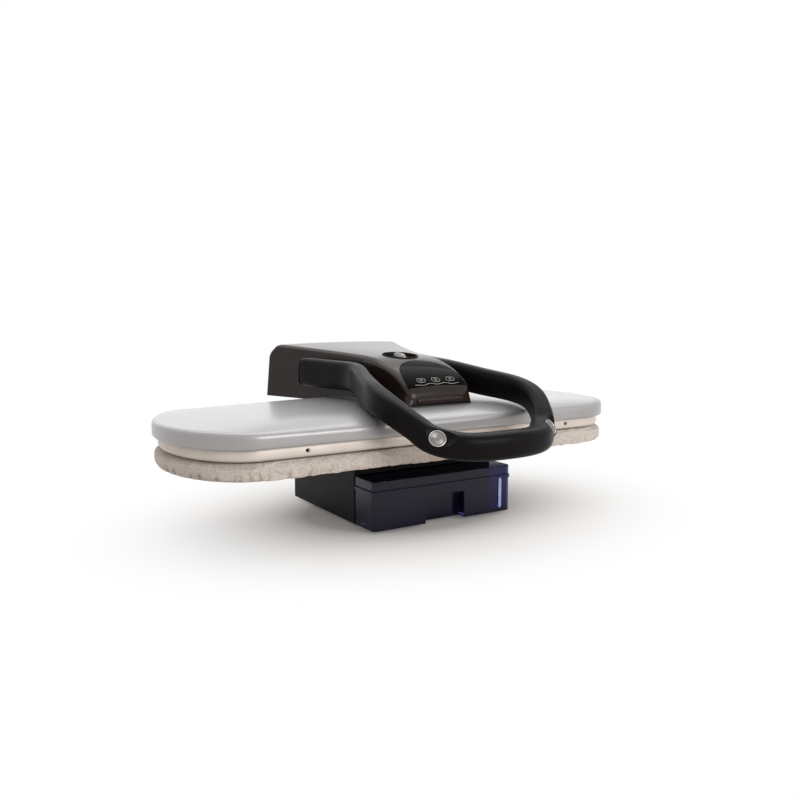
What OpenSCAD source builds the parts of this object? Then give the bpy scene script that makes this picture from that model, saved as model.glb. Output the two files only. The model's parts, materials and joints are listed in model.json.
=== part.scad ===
// Steam ironing press with a padded board, a heated lid on a hinged arm, a looped handle
// and a water tank that slides out at the front.
// Origin: on the table, under the middle of the board's depth and of the stand's width.
// +X is to the user's right, +Y points to the rear hinge, +Z is up.

/* [Board and lid] */
// Length of the lid
lid_len = 770; // [700:1:820]
// Depth of the lid, front to back
lid_depth = 296; // [284:1:304]
// How far each rounded end bows out
end_bow = 100; // [70:1:130]
// Offset of the board and the lid against the stand
lid_shift = -20; // [-25:1:25]
// Height of the lid's side
lid_side = 23; // [21:0.5:30]
// Rise of the lid's top between its edges
lid_crown = 12; // [4:0.5:14]
// Rounding of the lid's top edge
lid_round = 7; // [4:0.5:10]
// Wall of the lid
lid_wall = 2; // [1.5:0.1:3]
// Height of the pale band under the lid
band_h = 16.5; // [15:0.5:20]
// Step in from the lid to the band
band_inset = 8; // [6:0.5:12]
// Width of the band, seen from below
band_wall = 15; // [13:0.5:20]
// Height of the padded board
board_h = 24.5; // [20:0.5:30]
// Step in from the lid to the board
board_inset = 5; // [3:0.5:9]
// Thickness of the fabric cover
cover_t = 1.5; // [1:0.1:2]
// Width of the hem under the board
hem_w = 22; // [14:1:30]
// Thickness of the steel pan in the board
pan_t = 2; // [1.5:0.1:3]
// Gap between the cover and the hot plate when shut
press_gap = 1; // [0.5:0.1:3]
// How far the hot plate stands below the band
plate_drop = 0.8; // [0.4:0.1:2]
// Thickness of the hot plate's flange
flange_t = 3; // [2:0.5:4]
// Diameter of the steam holes
steam_hole = 4; // [2:0.5:6]
// Diameter of the heating element
element_d = 7; // [5:0.5:8]

/* [Stand] */
// Width of the stand and the tank
stand_w = 258; // [246:1:280]
// Depth of the stand's box
stand_depth = 215; // [208:1:222]
// From the board's middle to the front of the stand
stand_front = 59; // [54:1:64]
// Height of the stand's box
stand_h = 95; // [92:0.5:110]
// Wall of the stand
wall = 3; // [2:0.5:4]
// Height of the feet
foot_h = 5; // [3:0.5:10]
// Thickness of the base plate
base_t = 3; // [2:0.5:4]
// Height of the steel rails under the board
rail_h = 6.5; // [5:0.5:12]
// Width of the steel rails
rail_w = 40; // [30:1:50]

/* [Tank] */
// How far the tank stands out in front of the stand
tank_out = 57; // [45:1:70]
// How far the tank reaches into the stand
tank_in = 92; // [80:1:96]
// Height of the tank
tank_h = 71; // [62:0.5:78]
// Height of the tank's lid
tank_lid_h = 15; // [10:0.5:18]
// Wall of the tank
tank_wall = 2.5; // [2:0.1:3.5]
// Running gap around the tank
tank_gap = 1; // [0.6:0.1:2]
// Rounding of the tank's front corners
tank_round = 7; // [5:0.5:12]
// Width of the finger recess
grip_w = 72; // [50:1:90]
// Height of the finger recess
grip_h = 42; // [30:1:48]
// Depth of the finger recess
grip_depth = 17; // [12:0.5:24]

/* [Hinge] */
// From the lid's rear edge back to the hinge axis
hinge_back = 57; // [53:1:64]
// Diameter of the hinge pins
pin_d = 10; // [8:0.5:12]
// Thickness of the hinge lugs
lug_t = 12; // [8:0.5:14]
// Radius of the steel around the hinge axis
hinge_r = 13; // [12:0.5:15]
// Half the width of the rear tower
tower_half = 84; // [80:1:100]

/* [Arm] */
// Half the width of the arm over the controls
nose_half = 60; // [58:1:70]
// Half the width of the arm at its rear
rear_half = 133; // [115:1:140]
// Height of the arm above the lid's edge, at the rear
arm_h = 94; // [90:1:110]
// Rise of the arm's top for each mm towards the rear
arm_slope = 0.06; // [0:0.01:0.08]
// Fall of the arm's nose
nose_fall = 50; // [40:1:54]
// Length of the arm's nose
nose_len = 132; // [124:1:140]
// Where the nose begins, behind the board's middle
waist_y = 32; // [28:1:38]
// Overhang of the arm behind the hinge axis
arm_tail = 48; // [42:1:54]
// Wall of the arm's cover
arm_wall = 3; // [2:0.1:4]
// Depth of the rear cap
cap_depth = 14; // [10:0.5:20]
// Diameter of the dial's dish
dish_d = 60; // [50:1:66]
// Depth of the dial's dish
dish_h = 9; // [7:0.5:12]
// Diameter of the dial
dial_d = 36; // [28:1:42]
// Spacing of the panel's buttons
button_pitch = 27; // [23:0.5:30]
// Length of a panel button
button_w = 17; // [14:0.5:20]
// Width of a panel button
button_h = 11; // [8:0.5:13]

/* [Handle] */
// Half the width of the handle at its widest
handle_half = 131; // [128:1:140]
// Reach of the handle in front of the lid
handle_reach = 114; // [106:1:122]
// Width of the handle's limbs
limb_w = 28; // [24:0.5:31]
// Height of the handle's limbs at the rear
limb_h = 48; // [44:0.5:54]
// Thickness of the front grip
grip_t = 37; // [33:0.5:40]
// Diameter of the handle's shaft
shaft_d = 14; // [12:0.5:16]
// Diameter of the thumb buttons on the handle
thumb_d = 20; // [14:0.5:22]

/* [Hidden] */
$fn = 64;

// Clearances: sliding parts, parts that sit in each other, running shafts and fixed fits
slide_gap = 0.4;
seat_gap = 0.3;
run_gap = 0.05;
fit_gap = 0.02;

// Colours
black = "#1c1a19";
brown = "#2b2422";
silver = "#d6d7d9";
champagne = "#c9bba6";
fabric = "#b9b0a4";
steel = "#9a9da1";
brass = "#b5955a";
pale = "#d8d0c4";
indigo = "#3a3a66";

// Levels, from the table up
foot_half = 14;
z_plate = foot_h + base_t;
z_stand = foot_h + stand_h;
z_board = z_stand + rail_h;
z_pan = z_board + cover_t;
z_press = z_board + board_h;
z_heat = z_press + press_gap;
z_band = z_heat + plate_drop;
z_lid = z_band + band_h;
z_edge = z_lid + lid_side;
z_crest = z_edge + lid_crown;

// Places from front to back
half_d = lid_depth / 2;
end_steps = 32;
dome_power = 5;
y_stand = -stand_front;
y_stand_rear = y_stand + stand_depth;
y_tank = y_stand - tank_out;
y_tank_rear = y_stand + tank_in;
hinge_y = half_d + hinge_back;

// Hot plate and what stands on it
rebate = 5;
frame_lip = 5;
ledge_z = z_band + band_h / 2;
plate_top = ledge_z + flange_t;
post_h = 12;
beam_t = 4;
beam_over = 30;
beam_z = plate_top + post_h;
mat_z = beam_z + beam_t;
mat_t = 5;
bolt_d = 8;
bolt_x = 30;
bolt_y = 55;
hose_d = 9;
hose_play = 3;
hose_y = 106;
screw_z = z_band + 9;
screw_x = lid_len / 2 - end_bow - 52;
screw_mid = lid_shift + 10;
screw_d = 5;
pan_hole = 12;
chamber_w = 90;
chamber_depth = 40;
thermostat_x = -130;
thermostat_d = 24;

// Tank and its bay
bay_wall = 6;
bay_half = stand_w / 2 - bay_wall;
bay_top = z_plate + tank_h + 1.5;
y_bay = y_tank_rear + 4;
rim = 1.2;
rim_h = 5;
z_tank = z_plate + tank_h;
z_split = z_tank - tank_lid_h;
seal_t = 0.8;
valve_x = -50;
valve_z = z_plate + 14;
valve_d = 12;
spigot_d = 8;
pump_half = 19;
pump_d = 26;
pump_box = 34;
pump_len = 58;
pump_z = z_plate + 8 + pump_half;
pump_y = y_bay + wall + 38;
pump_end = pump_y + pump_len + 8;

// Hinge and tower
bush_wall = 2.5;
ear_t = 5;
ear_gap = 1;
lug_x = 46;
lug_end = lug_x + lug_t;
ear_in = lug_x - ear_gap - ear_t;
ear_out = lug_end + ear_gap;
pin_start = 9;
tower_r = hinge_r + wall + 1;
tower_back = tower_r + 5;
tower_drop = 6;
arm_z0 = z_edge + 0.5;
hinge_z = arm_z0 - tower_r - 2.5;
spring_r = pin_d / 2 + 4;
spring_wire = 2.4;
spring_turns = 7.5;
spring_pitch = 3.2;
spring_x = 12;
bar_z = hinge_z - 24;
gland_x = -55;
gland_z = z_plate + 24;
gland_d = 14;
cord_d = 7;

// Arm
arm_rear = hinge_y + arm_tail;
arm_top_z = z_edge + arm_h;
nose_tip = waist_y - nose_len;
edge_r = 10;
rear_round = 24;
tail_share = 0.9;
arm_draft = 6;
arm_crown = 2;
flare_power = 1.25;
nose_lift = 13;
lift_len = 50;
corner_r = 14;
cap_y = arm_rear - cap_depth;
lip_h = 8;
lip_t = 2.4;
arm_stations = concat(
  [for (i = [0:10]) waist_y - nose_len * sin(90 - 9 * i)],
  [for (i = [1:6]) waist_y + (arm_rear - rear_round - waist_y) * i / 6],
  [for (a = [30, 60, 80, 90]) arm_rear - rear_round * (1 - sin(a))]);
frame_z = z_crest + seat_gap;
frame_t = 4;
frame_front = nose_tip + 30;

// Controls
dial_y = waist_y - 15;
spindle_d = 6;
dish_wall = 1.6;
button_y = nose_tip + 14;
button_top = 1;
button_depth = 5;
panel_half = 54;
panel_rise = 62;
panel_y = nose_tip + 12;
panel_t = 1.3;
board_drop = 10;
stud_x = 1.6 * button_pitch;

// Handle
pivot_y = half_d - 34;
pivot_z = z_edge + 50;
y_grip = -half_d - handle_reach;
z_grip = z_lid - 4;
thumb_x = handle_half - 37;
thumb_y = y_grip + 37;
thumb_z = z_grip + 5;
thumb_tilt = 58;
thumb_turn = 26;
thumb_floor = 10;
ring_w = 2;
cam_r = 16;
cam_throw = 5;
cam_x = 22;
cam_w = 12;
shaft_half = nose_half + 53;

// Boxes and round bars given by their limits
module block(x0, x1, y0, y1, z0, z1) { translate([x0, y0, z0]) cube([x1 - x0, y1 - y0, z1 - z0]); }
module x_bar(x0, x1, y, z, d) { translate([x0, y, z]) rotate([0, 90, 0]) cylinder(h = x1 - x0, d = d); }
module y_bar(x, y0, y1, z, d) { translate([x, y0, z]) rotate([-90, 0, 0]) cylinder(h = y1 - y0, d = d); }
module z_bar(x, y, z0, z1, d) { translate([x, y, z0]) cylinder(h = z1 - z0, d = d); }
module both() {
  children();
  mirror([1, 0, 0]) children();
}

// A side plate: a shape drawn with X as depth and Y as height, x0 to x1 thick
module side_plate(x0, x1) {
  translate([x0, 0, 0]) rotate([90, 0, 90]) linear_extrude(x1 - x0) children();
}

// A solid through rings of points, each ring turning left as seen from the last one
module loft(rings) {
  n = len(rings[0]);
  last = len(rings) - 1;
  sides = [for (j = [0:last - 1], i = [0:n - 1])
    let (a = j * n + i, b = j * n + (i + 1) % n) [[a, a + n, b + n], [a, b + n, b]]];
  faces = concat(
    [[for (i = [0:n - 1]) i]],
    [for (pair = sides) each pair],
    [[for (i = [n - 1:-1:0]) last * n + i]]);
  polyhedron([for (ring = rings) each ring], faces);
}

// A smooth curve through points of any dimension
function blend(a, b, c, d, t) =
  0.5 * (2 * b + (c - a) * t + (2 * a - 5 * b + 4 * c - d) * t * t + (3 * b - a - 3 * c + d) * t * t * t);
function smooth(p, steps) = let (n = len(p) - 1) concat(
  [for (i = [0:n - 1], k = [0:steps - 1])
    blend(p[max(i - 1, 0)], p[i], p[i + 1], p[min(i + 2, n)], k / steps)],
  [p[n]]);
function place(p) = [p[0], p[1], p[2]];
function unit(v) = v / norm(v);

// A tube or bar along a smooth path of [x, y, z, width, height], square to its run
module swept(path, steps, sides, power, side_of) {
  run = smooth(path, steps);
  n = len(run) - 1;
  loft([for (i = [0:n])
    let (
      t = unit(place(run[min(i + 1, n)]) - place(run[max(i - 1, 0)])),
      s = unit(cross(t, side_of)),
      u = cross(s, t))
    [for (k = [0:sides - 1])
      let (c = cos(360 * k / sides), d = -sin(360 * k / sides))
      place(run[i])
        + s * sign(c) * pow(abs(c), 2 / power) * run[i][3] / 2
        + u * sign(d) * pow(abs(d), 2 / power) * run[i][4] / 2]]);
}
function hose_path(points, d) = [for (p = points) [p[0], p[1], p[2], d, d]];

// Outline of the lid and the board: straight sides with elliptical ends, stepped in by inset
function bow(inset, side) = [for (i = [0:end_steps])
  let (a = 180 * i / end_steps - 90 * side)
  [lid_shift + side * (lid_len / 2 - end_bow) + (end_bow - inset) * cos(a), (half_d - inset) * sin(a)]];
function outline(inset) = concat(bow(inset, 1), bow(inset, -1));
module slab(inset, z0, z1) { translate([0, 0, z0]) linear_extrude(z1 - z0) polygon(outline(inset)); }

// The lid's outer form, grown by grow, with its lower edge at z0: a level rim and a domed top
function dome(x, y) = lid_crown
  * (1 - pow(min(1, abs(y) / (half_d - lid_round)), dome_power))
  * (1 - pow(min(1, abs(x) / (lid_len / 2 - lid_round)), 2));
function lid_ring(inset, z, domed, share) = [for (p = outline(inset))
  let (x = (p[0] - lid_shift) * share, y = p[1] * share) [lid_shift + x, y, z + domed * dome(x, y)]];
module lid_form(grow, z0) {
  loft(concat(
    [lid_ring(-grow, z0, 0, 1), lid_ring(-grow, z_edge - lid_round, 0, 1)],
    [for (a = [30, 60, 90])
      lid_ring(lid_round * (1 - cos(a)) - grow, z_edge - lid_round + (lid_round + grow) * sin(a),
        sin(a), 1)],
    [for (share = [0.95, 0.88, 0.78, 0.6, 0.3, 0.02])
      lid_ring(lid_round - grow, z_edge + grow, 1, share)]));
}

// The arm's outer form: half width, top and underside at each depth
function arm_half(y) = nose_half
  + (rear_half - nose_half) * pow(max(0, (y - waist_y) / (arm_rear - waist_y)), flare_power)
  - corner_r * (1 - sqrt(1 - pow(max(0, (nose_tip + corner_r - y) / corner_r), 2)));
function nose_at(y) = nose_fall * (1 - sqrt(max(0, 1 - pow(max(0, (waist_y - y) / nose_len), 2))));
function tail_at(y) =
  rear_round * (1 - sqrt(max(0, 1 - pow(max(0, (y - arm_rear + rear_round) / rear_round), 2))));
function arm_top(y) = arm_top_z + arm_slope * (y - arm_rear) - nose_at(y) - tail_share * tail_at(y);
function arm_under(y) = arm_z0 + nose_lift * pow(max(0, (nose_tip + lift_len - y) / lift_len), 2);
function arm_pitch(y) = atan((arm_top(y + 0.5) - arm_top(y - 0.5)));
function arm_section(y, grow, sink) = let (
    w = arm_half(y) + grow,
    z = arm_top(y) + grow,
    z0 = arm_under(y) - sink,
    r = min(edge_r, (z - arm_under(y)) / 2.2),
    draft = arm_draft * (z - r - z0) / (z - r - arm_under(y)),
    flat = w - r)
  concat(
    [[-w - draft, z0]],
    [for (a = [180:-18:90]) [-flat + r * cos(a), z - r + r * sin(a)]],
    [for (k = [-0.5, 0, 0.5]) [flat * k, z + arm_crown * (1 - k * k)]],
    [for (a = [90:-18:0]) [flat + r * cos(a), z - r + r * sin(a)]],
    [[w + draft, z0]]);
module arm_form(grow, sink) {
  mid = (nose_tip + arm_rear) / 2;
  stretch = 1 + 2 * grow / (arm_rear - nose_tip);
  loft([for (y = arm_stations)
    [for (p = arm_section(y, grow, sink)) [p[0], mid + (y - mid) * stretch, p[1]]]]);
}
module on_arm(y) {
  translate([0, y, arm_top(y) + arm_crown]) rotate([arm_pitch(y), 0, 0]) children();
}

// Stand

module base_bosses(d, z0, z1) {
  for (y = [y_bay + 22, y_stand_rear - 15]) both() z_bar(bay_half - 13, y, z0, z1, d);
}

module base_shell() color(black) {
  inner = stand_w / 2 - wall;
  tongue = tower_half - wall;
  difference() {
    block(-stand_w / 2, stand_w / 2, y_stand, y_stand_rear, foot_h, z_stand);
    block(-bay_half, bay_half, y_stand - 1, y_bay, foot_h - 1, bay_top);
    block(-inner, inner, y_bay + wall, y_stand_rear - wall, foot_h - 1, z_stand - wall);
    block(-inner, inner, y_stand + wall, y_bay + wall + 1, bay_top + wall, z_stand - wall);
    block(-bay_half, bay_half, y_bay - 1, y_bay + wall + 1, foot_h - 1, z_plate + seat_gap);
    block(-tongue, tongue, y_stand_rear - wall - 1, y_stand_rear + 1, foot_h - 1, z_plate + seat_gap);
    y_bar(valve_x, y_bay - 1, y_bay + wall + 1, valve_z, valve_d + 2 * seat_gap);
    y_bar(valve_x, y_stand_rear - wall - 1, y_stand_rear + 1, pump_z, hose_d + hose_play);
  }
  difference() {
    base_bosses(9, z_plate + seat_gap, z_stand - wall);
    base_bosses(3, z_plate, z_plate + 16);
  }
}

module base_plate() color(black) difference() {
  union() {
    w = bay_half - seat_gap;
    tongue = tower_half - wall - seat_gap;
    block(-w, w, y_stand + 1, y_stand_rear - wall - seat_gap, foot_h, z_plate);
    block(-tongue, tongue, y_stand_rear - wall - 1, hinge_y + tower_back - wall - seat_gap,
      foot_h, z_plate);
  }
  base_bosses(3.8, foot_h - 1, z_plate + 1);
  base_bosses(7.4, foot_h - 1, foot_h + 1.6);
}

module base_screws() color(steel) {
  base_bosses(7, foot_h, foot_h + 1.6);
  base_bosses(2.9, foot_h + 1.6, z_plate + 15);
}

module foot(x0, x1, y0, y1) {
  r = (x1 - x0) / 2;
  linear_extrude(foot_h) {
    translate([x0, y0 + r]) square([x1 - x0, y1 - y0 - 2 * r]);
    for (y = [y0 + r, y1 - r]) translate([x0 + r, y]) circle(r);
  }
}

// Four feet at the corners and one under the middle of the floor
module feet() color(pale) {
  both() {
    foot(stand_w / 2 - 20, stand_w / 2 - 2, y_stand + 2, y_stand + 44);
    foot(tower_half - 30, tower_half - 12, hinge_y - 24, hinge_y + 16);
  }
  foot(-foot_half, foot_half, -foot_half - 8, foot_half + 8);
}

// Outline of the tower, seen from the side, stepped in by inset
function tower_side(inset, z0) = let (y0 = y_stand_rear + seat_gap - hinge_y + inset) concat(
  [[y0, z0 - hinge_z], [tower_back - inset, z0 - hinge_z], [tower_back - inset, -tower_drop - inset / 3]],
  [for (a = [10:16:90]) (tower_r - inset) * [cos(a), sin(a)]],
  [[y0, tower_r - inset]]);

module rear_tower() color(black) {
  inner = tower_half - wall;
  difference() {
    translate([0, hinge_y, hinge_z]) side_plate(-tower_half, tower_half) polygon(tower_side(0, foot_h));
    translate([0, hinge_y, hinge_z]) side_plate(-inner, inner) polygon(tower_side(wall, foot_h - 1));
    block(-inner, inner, y_stand_rear, y_stand_rear + wall + 1, foot_h - 1, z_stand - 10);
    both() block(lug_x - 2, lug_end + 2, hinge_y - hinge_r - 2, hinge_y + tower_back + 1,
      hinge_z - hinge_r - 1, hinge_z + tower_r + 1);
    block(2 - ear_in, ear_in - 2, hinge_y - spring_r - 5, hinge_y + tower_back - 4,
      hinge_z, hinge_z + tower_r + 1);
    y_bar(gland_x, hinge_y, hinge_y + tower_back + 1, gland_z, gland_d + 2 * seat_gap);
  }
}

module cord_gland() color(black) {
  y1 = hinge_y + tower_back;
  difference() {
    translate([gland_x, y1, gland_z]) rotate([-90, 0, 0]) rotate_extrude() polygon([
      [0, -wall - 4], [gland_d / 2 + 2, -wall - 4], [gland_d / 2 + 2, -wall - seat_gap],
      [gland_d / 2, -wall - seat_gap], [gland_d / 2, seat_gap], [gland_d / 2 + 3, seat_gap],
      [gland_d / 2 + 3, 3], [gland_d / 2 - 1, 5], [gland_d / 2 - 2.5, 30], [0, 30]]);
    y_bar(gland_x, y1 - 10, y1 + 31, gland_z, cord_d);
  }
}

module hinge_ear() difference() {
  union() {
    translate([hinge_y, hinge_z]) circle(hinge_r);
    translate([hinge_y - hinge_r, z_plate + 3]) square([2 * hinge_r, hinge_z - z_plate - 3]);
  }
  translate([hinge_y, hinge_z]) circle(d = pin_d + 2 * fit_gap);
}

module hinge_bracket() color(steel) {
  both() {
    side_plate(ear_in, ear_in + ear_t) hinge_ear();
    side_plate(ear_out, ear_out + ear_t) hinge_ear();
  }
  block(-ear_out - ear_t - 6, ear_out + ear_t + 6, hinge_y - 17, hinge_y + 17, z_plate, z_plate + 4);
  block(-ear_in - 1, ear_in + 1, hinge_y + spring_r - 2.4, hinge_y + spring_r + 3, bar_z - 6, bar_z);
}

module hinge_pins() color(steel) both() {
  x_bar(pin_start, ear_out + ear_t + fit_gap, hinge_y, hinge_z, pin_d);
  x_bar(ear_out + ear_t + fit_gap, ear_out + ear_t + 4, hinge_y, hinge_z, pin_d + 5);
}

module lift_springs() color(steel) both() {
  steps = 12;
  sides = 6;
  w = spring_wire / 2;
  x_end = spring_x + spring_turns * spring_pitch;
  loft([for (i = [0:spring_turns * steps])
    let (a = 360 * i / steps, x = spring_x + spring_pitch * i / steps)
    [for (k = [0:sides - 1])
      let (b = 360 * k / sides, r = spring_r + w * sin(b))
      [x + w * cos(b), hinge_y + r * cos(a), hinge_z + r * sin(a)]]]);
  z_bar(spring_x, hinge_y + spring_r, bar_z, hinge_z, spring_wire);
  z_bar(x_end, hinge_y - spring_r, hinge_z, arm_z0 - seat_gap, spring_wire);
}

// Board

module board_rails() color(steel) {
  run = lid_len / 2 - end_bow + 20;
  for (y = [y_stand + 7, y_stand_rear - 40 - rail_w]) difference() {
    block(lid_shift - run, lid_shift + run, y, y + rail_w, z_stand, z_pan);
    block(lid_shift - run - 1, lid_shift + run + 1, y + 2, y + rail_w - 2, z_stand - 1, z_pan - 2);
  }
}

module board_pan() color(steel) difference() {
  slab(board_inset + cover_t + seat_gap, z_pan, z_pan + pan_t);
  for (i = [-4:4], j = [-1:1])
    z_bar(lid_shift + i * (lid_len / 2 - end_bow) / 4.5, j * half_d * 0.6,
      z_pan - 1, z_pan + pan_t + 1, pan_hole);
}

module board_pad() color(pale)
  slab(board_inset + cover_t + seat_gap, z_pan + pan_t, z_press - cover_t - seat_gap);

module board_cover() color(fabric) difference() {
  slab(board_inset, z_board, z_press);
  slab(board_inset + cover_t, z_pan, z_press - cover_t);
  slab(board_inset + hem_w, z_board - 1, z_pan + 1);
}

// Water works in the stand

module pump() color(steel) {
  block(valve_x - 20, valve_x + 20, pump_y, pump_y + pump_box, pump_z - pump_half, pump_z + pump_half);
  y_bar(valve_x, pump_y - 2, pump_y + pump_len, pump_z, pump_d);
  y_bar(valve_x, pump_y - 12, pump_y, valve_z, spigot_d);
  y_bar(valve_x, pump_y + pump_len - 1, pump_end, pump_z, spigot_d);
}

module pump_mount() color(black)
  block(valve_x - 22, valve_x + 22, pump_y - 1, pump_y + pump_box + 2, z_plate, pump_z - pump_half);

module inlet_socket() color(black) {
  y1 = y_bay + wall;
  y_bar(valve_x, y_tank_rear + 2.5 + seat_gap, y1 + 2, valve_z, valve_d);
  y_bar(valve_x, y1, y1 + 2, valve_z, valve_d + 6);
  y_bar(valve_x, y1 + 2, y1 + 12, valve_z, spigot_d);
}

module suction_hose() color(pale) difference() {
  y_bar(valve_x, y_bay + wall + 2, pump_y, valve_z, spigot_d + 4);
  y_bar(valve_x, y_bay + wall + 1, pump_y + 1, valve_z, spigot_d + 2 * fit_gap);
  y_bar(valve_x, pump_y - 2 - seat_gap, pump_y + 1, pump_z, pump_d + 2 * seat_gap);
}

module water_hose() color(pale) {
  y0 = pump_end + seat_gap;
  swept(hose_path([
    [valve_x, y0, pump_z], [valve_x, y_stand_rear - 8, pump_z], [valve_x, y_stand_rear + 5, pump_z],
    [valve_x + 12, y_stand_rear + 20, pump_z + 8],
    [valve_x + 36, hinge_y - 16, pump_z + 36], [-3, hinge_y - 6, hinge_z - 52], [0, hinge_y, hinge_z - 34],
    [0, hinge_y, hinge_z - 23], [0, hinge_y, hinge_z - 12]], hose_d), 5, 12, 2, [1, 0, 0]);
}

// A pleated length of hose that bends with the hinge
module hose_flex() color(black) {
  z0 = hinge_z - 12;
  pleats = 7;
  pitch = (arm_z0 - 1 - z0) / pleats;
  translate([0, hinge_y, z0]) rotate_extrude() polygon(concat(
    [[0, 0]],
    [for (i = [0:pleats - 1]) each [[3.4, i * pitch], [hose_d / 2, (i + 0.5) * pitch]]],
    [[3.4, pleats * pitch], [0, pleats * pitch]]));
}

// Tank

module tank_front(inset, grow) {
  w = stand_w / 2 - rim - inset + grow;
  y0 = y_tank + rim + inset - grow;
  y1 = y_stand - tank_gap - inset;
  r = max(1, tank_round - inset);
  translate([r - w, y0]) square([2 * (w - r), y1 - y0]);
  translate([-w, y0 + r]) square([2 * w, y1 - y0 - r]);
  for (s = [-1, 1]) translate([s * (w - r), y0 + r]) circle(r);
}

module tank_plan(inset) {
  w = bay_half - tank_gap - inset;
  y0 = y_stand - tank_gap - inset - 1;
  tank_front(inset, 0);
  translate([-w, y0]) square([2 * w, y_tank_rear - inset - y0]);
}

module tank_grip(grow, y0, z0) {
  block(-grip_w / 2 - grow, grip_w / 2 + grow, y0, y_tank + grip_depth + grow, z0, foot_h + grip_h + grow);
}

module tank_tub() color(indigo) {
  z0 = z_plate + seat_gap;
  difference() {
    union() {
      difference() {
        union() {
          translate([0, 0, z0]) linear_extrude(z_split - z0) tank_plan(0);
          translate([0, 0, foot_h]) linear_extrude(z0 - foot_h) tank_front(0, 0);
          translate([0, 0, z_split - rim_h]) linear_extrude(rim_h) tank_front(0, rim);
        }
        translate([0, 0, z0 + tank_wall]) linear_extrude(tank_h) tank_plan(tank_wall);
      }
      tank_grip(tank_wall, y_tank + rim, foot_h);
    }
    tank_grip(0, y_tank - 1, foot_h - 1);
    y_bar(valve_x, y_tank_rear - tank_wall - 1, y_tank_rear + 1, valve_z, valve_d + 2 * fit_gap);
  }
}

module tank_lid() color(indigo) difference() {
  translate([0, 0, z_split + seal_t]) linear_extrude(tank_lid_h - seal_t) tank_plan(0);
  translate([0, 0, z_split]) linear_extrude(tank_lid_h - tank_wall) tank_plan(tank_wall);
}

module tank_seal() color(black) translate([0, 0, z_split]) linear_extrude(seal_t) difference() {
  tank_plan(0.6);
  tank_plan(tank_wall - 0.5);
}

module tank_valve() color(black) {
  y1 = y_tank_rear - tank_wall;
  y_bar(valve_x, y1 - 2, y_tank_rear + 2.5, valve_z, valve_d);
  y_bar(valve_x, y1 - 2, y1, valve_z, valve_d + 6);
}

// Lid

module at_bolts() { for (x = [-bolt_x, bolt_x], y = [-bolt_y, bolt_y]) translate([x, y, 0]) children(); }

module lid_shell() color(silver) difference() {
  lid_form(0, z_lid);
  lid_form(-lid_wall, z_lid - 1);
  at_bolts() z_bar(0, 0, z_edge - 10, z_crest + 5, bolt_d + 1);
  z_bar(0, hose_y, z_edge - 10, z_crest + 5, hose_d + hose_play);
}

module at_screws() {
  for (x = [-screw_x, screw_x], side = [0, 180])
    translate([screw_mid + x, 0, screw_z]) rotate([0, 0, side])
      translate([0, band_inset - half_d, 0]) children();
}

module platen_frame() color(champagne) difference() {
  union() {
    slab(band_inset, z_band, z_lid + frame_lip);
    slab(lid_wall + seat_gap, z_lid, z_lid + frame_lip);
  }
  slab(band_inset + band_wall, z_band - 1, ledge_z + 1);
  slab(band_inset + band_wall - rebate, ledge_z, z_lid + frame_lip + 1);
  at_screws() y_bar(0, -1, band_wall - rebate + 1, 0, screw_d);
}

module frame_screws() color(steel) at_screws() {
  y_bar(0, 3, 6, 0, screw_d - 2 * fit_gap);
  y_bar(0, 6, band_wall - rebate - 0.5, 0, screw_d - 2);
}

module heat_plate() color(steel) difference() {
  union() {
    slab(band_inset + band_wall + seat_gap, z_heat, plate_top);
    slab(band_inset + band_wall - rebate + seat_gap, ledge_z, plate_top);
  }
  for (i = [-5:5], j = [-1.5, -0.5, 0.5, 1.5])
    z_bar(lid_shift + (i + 0.25 * sign(j)) * (lid_len / 2 - end_bow) / 5.5, j * half_d * 0.42,
      z_heat - 1, z_heat + 3, steam_hole);
}

module heating_element() color(steel) {
  y = half_d * 0.51;
  z = plate_top + element_d / 2;
  run = lid_len / 2 - end_bow - 40;
  for (s = [-1, 1]) {
    x_bar(lid_shift - run, lid_shift + run, s * y, z, element_d);
    x_bar(lid_shift + run, lid_shift + run + 18, s * y, z, element_d - 3);
  }
  translate([lid_shift - run, 0, z]) rotate([0, 0, 90]) rotate_extrude(angle = 180)
    translate([y, 0]) circle(d = element_d);
}

module beam_posts() color(steel) at_bolts() difference() {
  z_bar(0, 0, plate_top, beam_z, bolt_d + 8);
  z_bar(0, 0, plate_top - 1, beam_z + 1, bolt_d + 2 * fit_gap);
}

module press_beam() color(steel) difference() {
  block(-bolt_x - beam_over, bolt_x + beam_over, -bolt_y - beam_over + 5, bolt_y + beam_over - 5,
    beam_z, beam_z + beam_t);
  at_bolts() z_bar(0, 0, beam_z - 1, beam_z + beam_t + 1, bolt_d + 2 * fit_gap);
}

module arm_bolts() color(steel) at_bolts() {
  z_bar(0, 0, plate_top + 2, frame_z + frame_t, bolt_d);
  translate([0, 0, frame_z + frame_t]) cylinder(h = 5, d = bolt_d + 6, $fn = 6);
}

module insulation_mat() color(pale) difference() {
  slab(band_inset + 26, mat_z, mat_z + mat_t);
  at_bolts() z_bar(0, 0, mat_z - 1, mat_z + mat_t + 1, bolt_d + 1);
  z_bar(0, hose_y, mat_z - 1, mat_z + mat_t + 1, hose_d + hose_play);
}

module steam_chamber() color(steel) difference() {
  block(-chamber_w / 2, chamber_w / 2, hose_y - chamber_depth / 2, hose_y + chamber_depth / 2, plate_top,
    mat_z - seat_gap);
  z_bar(0, hose_y, plate_top + 3, mat_z, hose_d - 3);
}

module thermostat() color(brass) {
  z_bar(thermostat_x, 20, plate_top, plate_top + 9, thermostat_d);
  for (y = [14, 26])
    block(thermostat_x - 3, thermostat_x + 3, y - 0.5, y + 0.5, plate_top + 8, plate_top + 15);
}

// Arm

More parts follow.
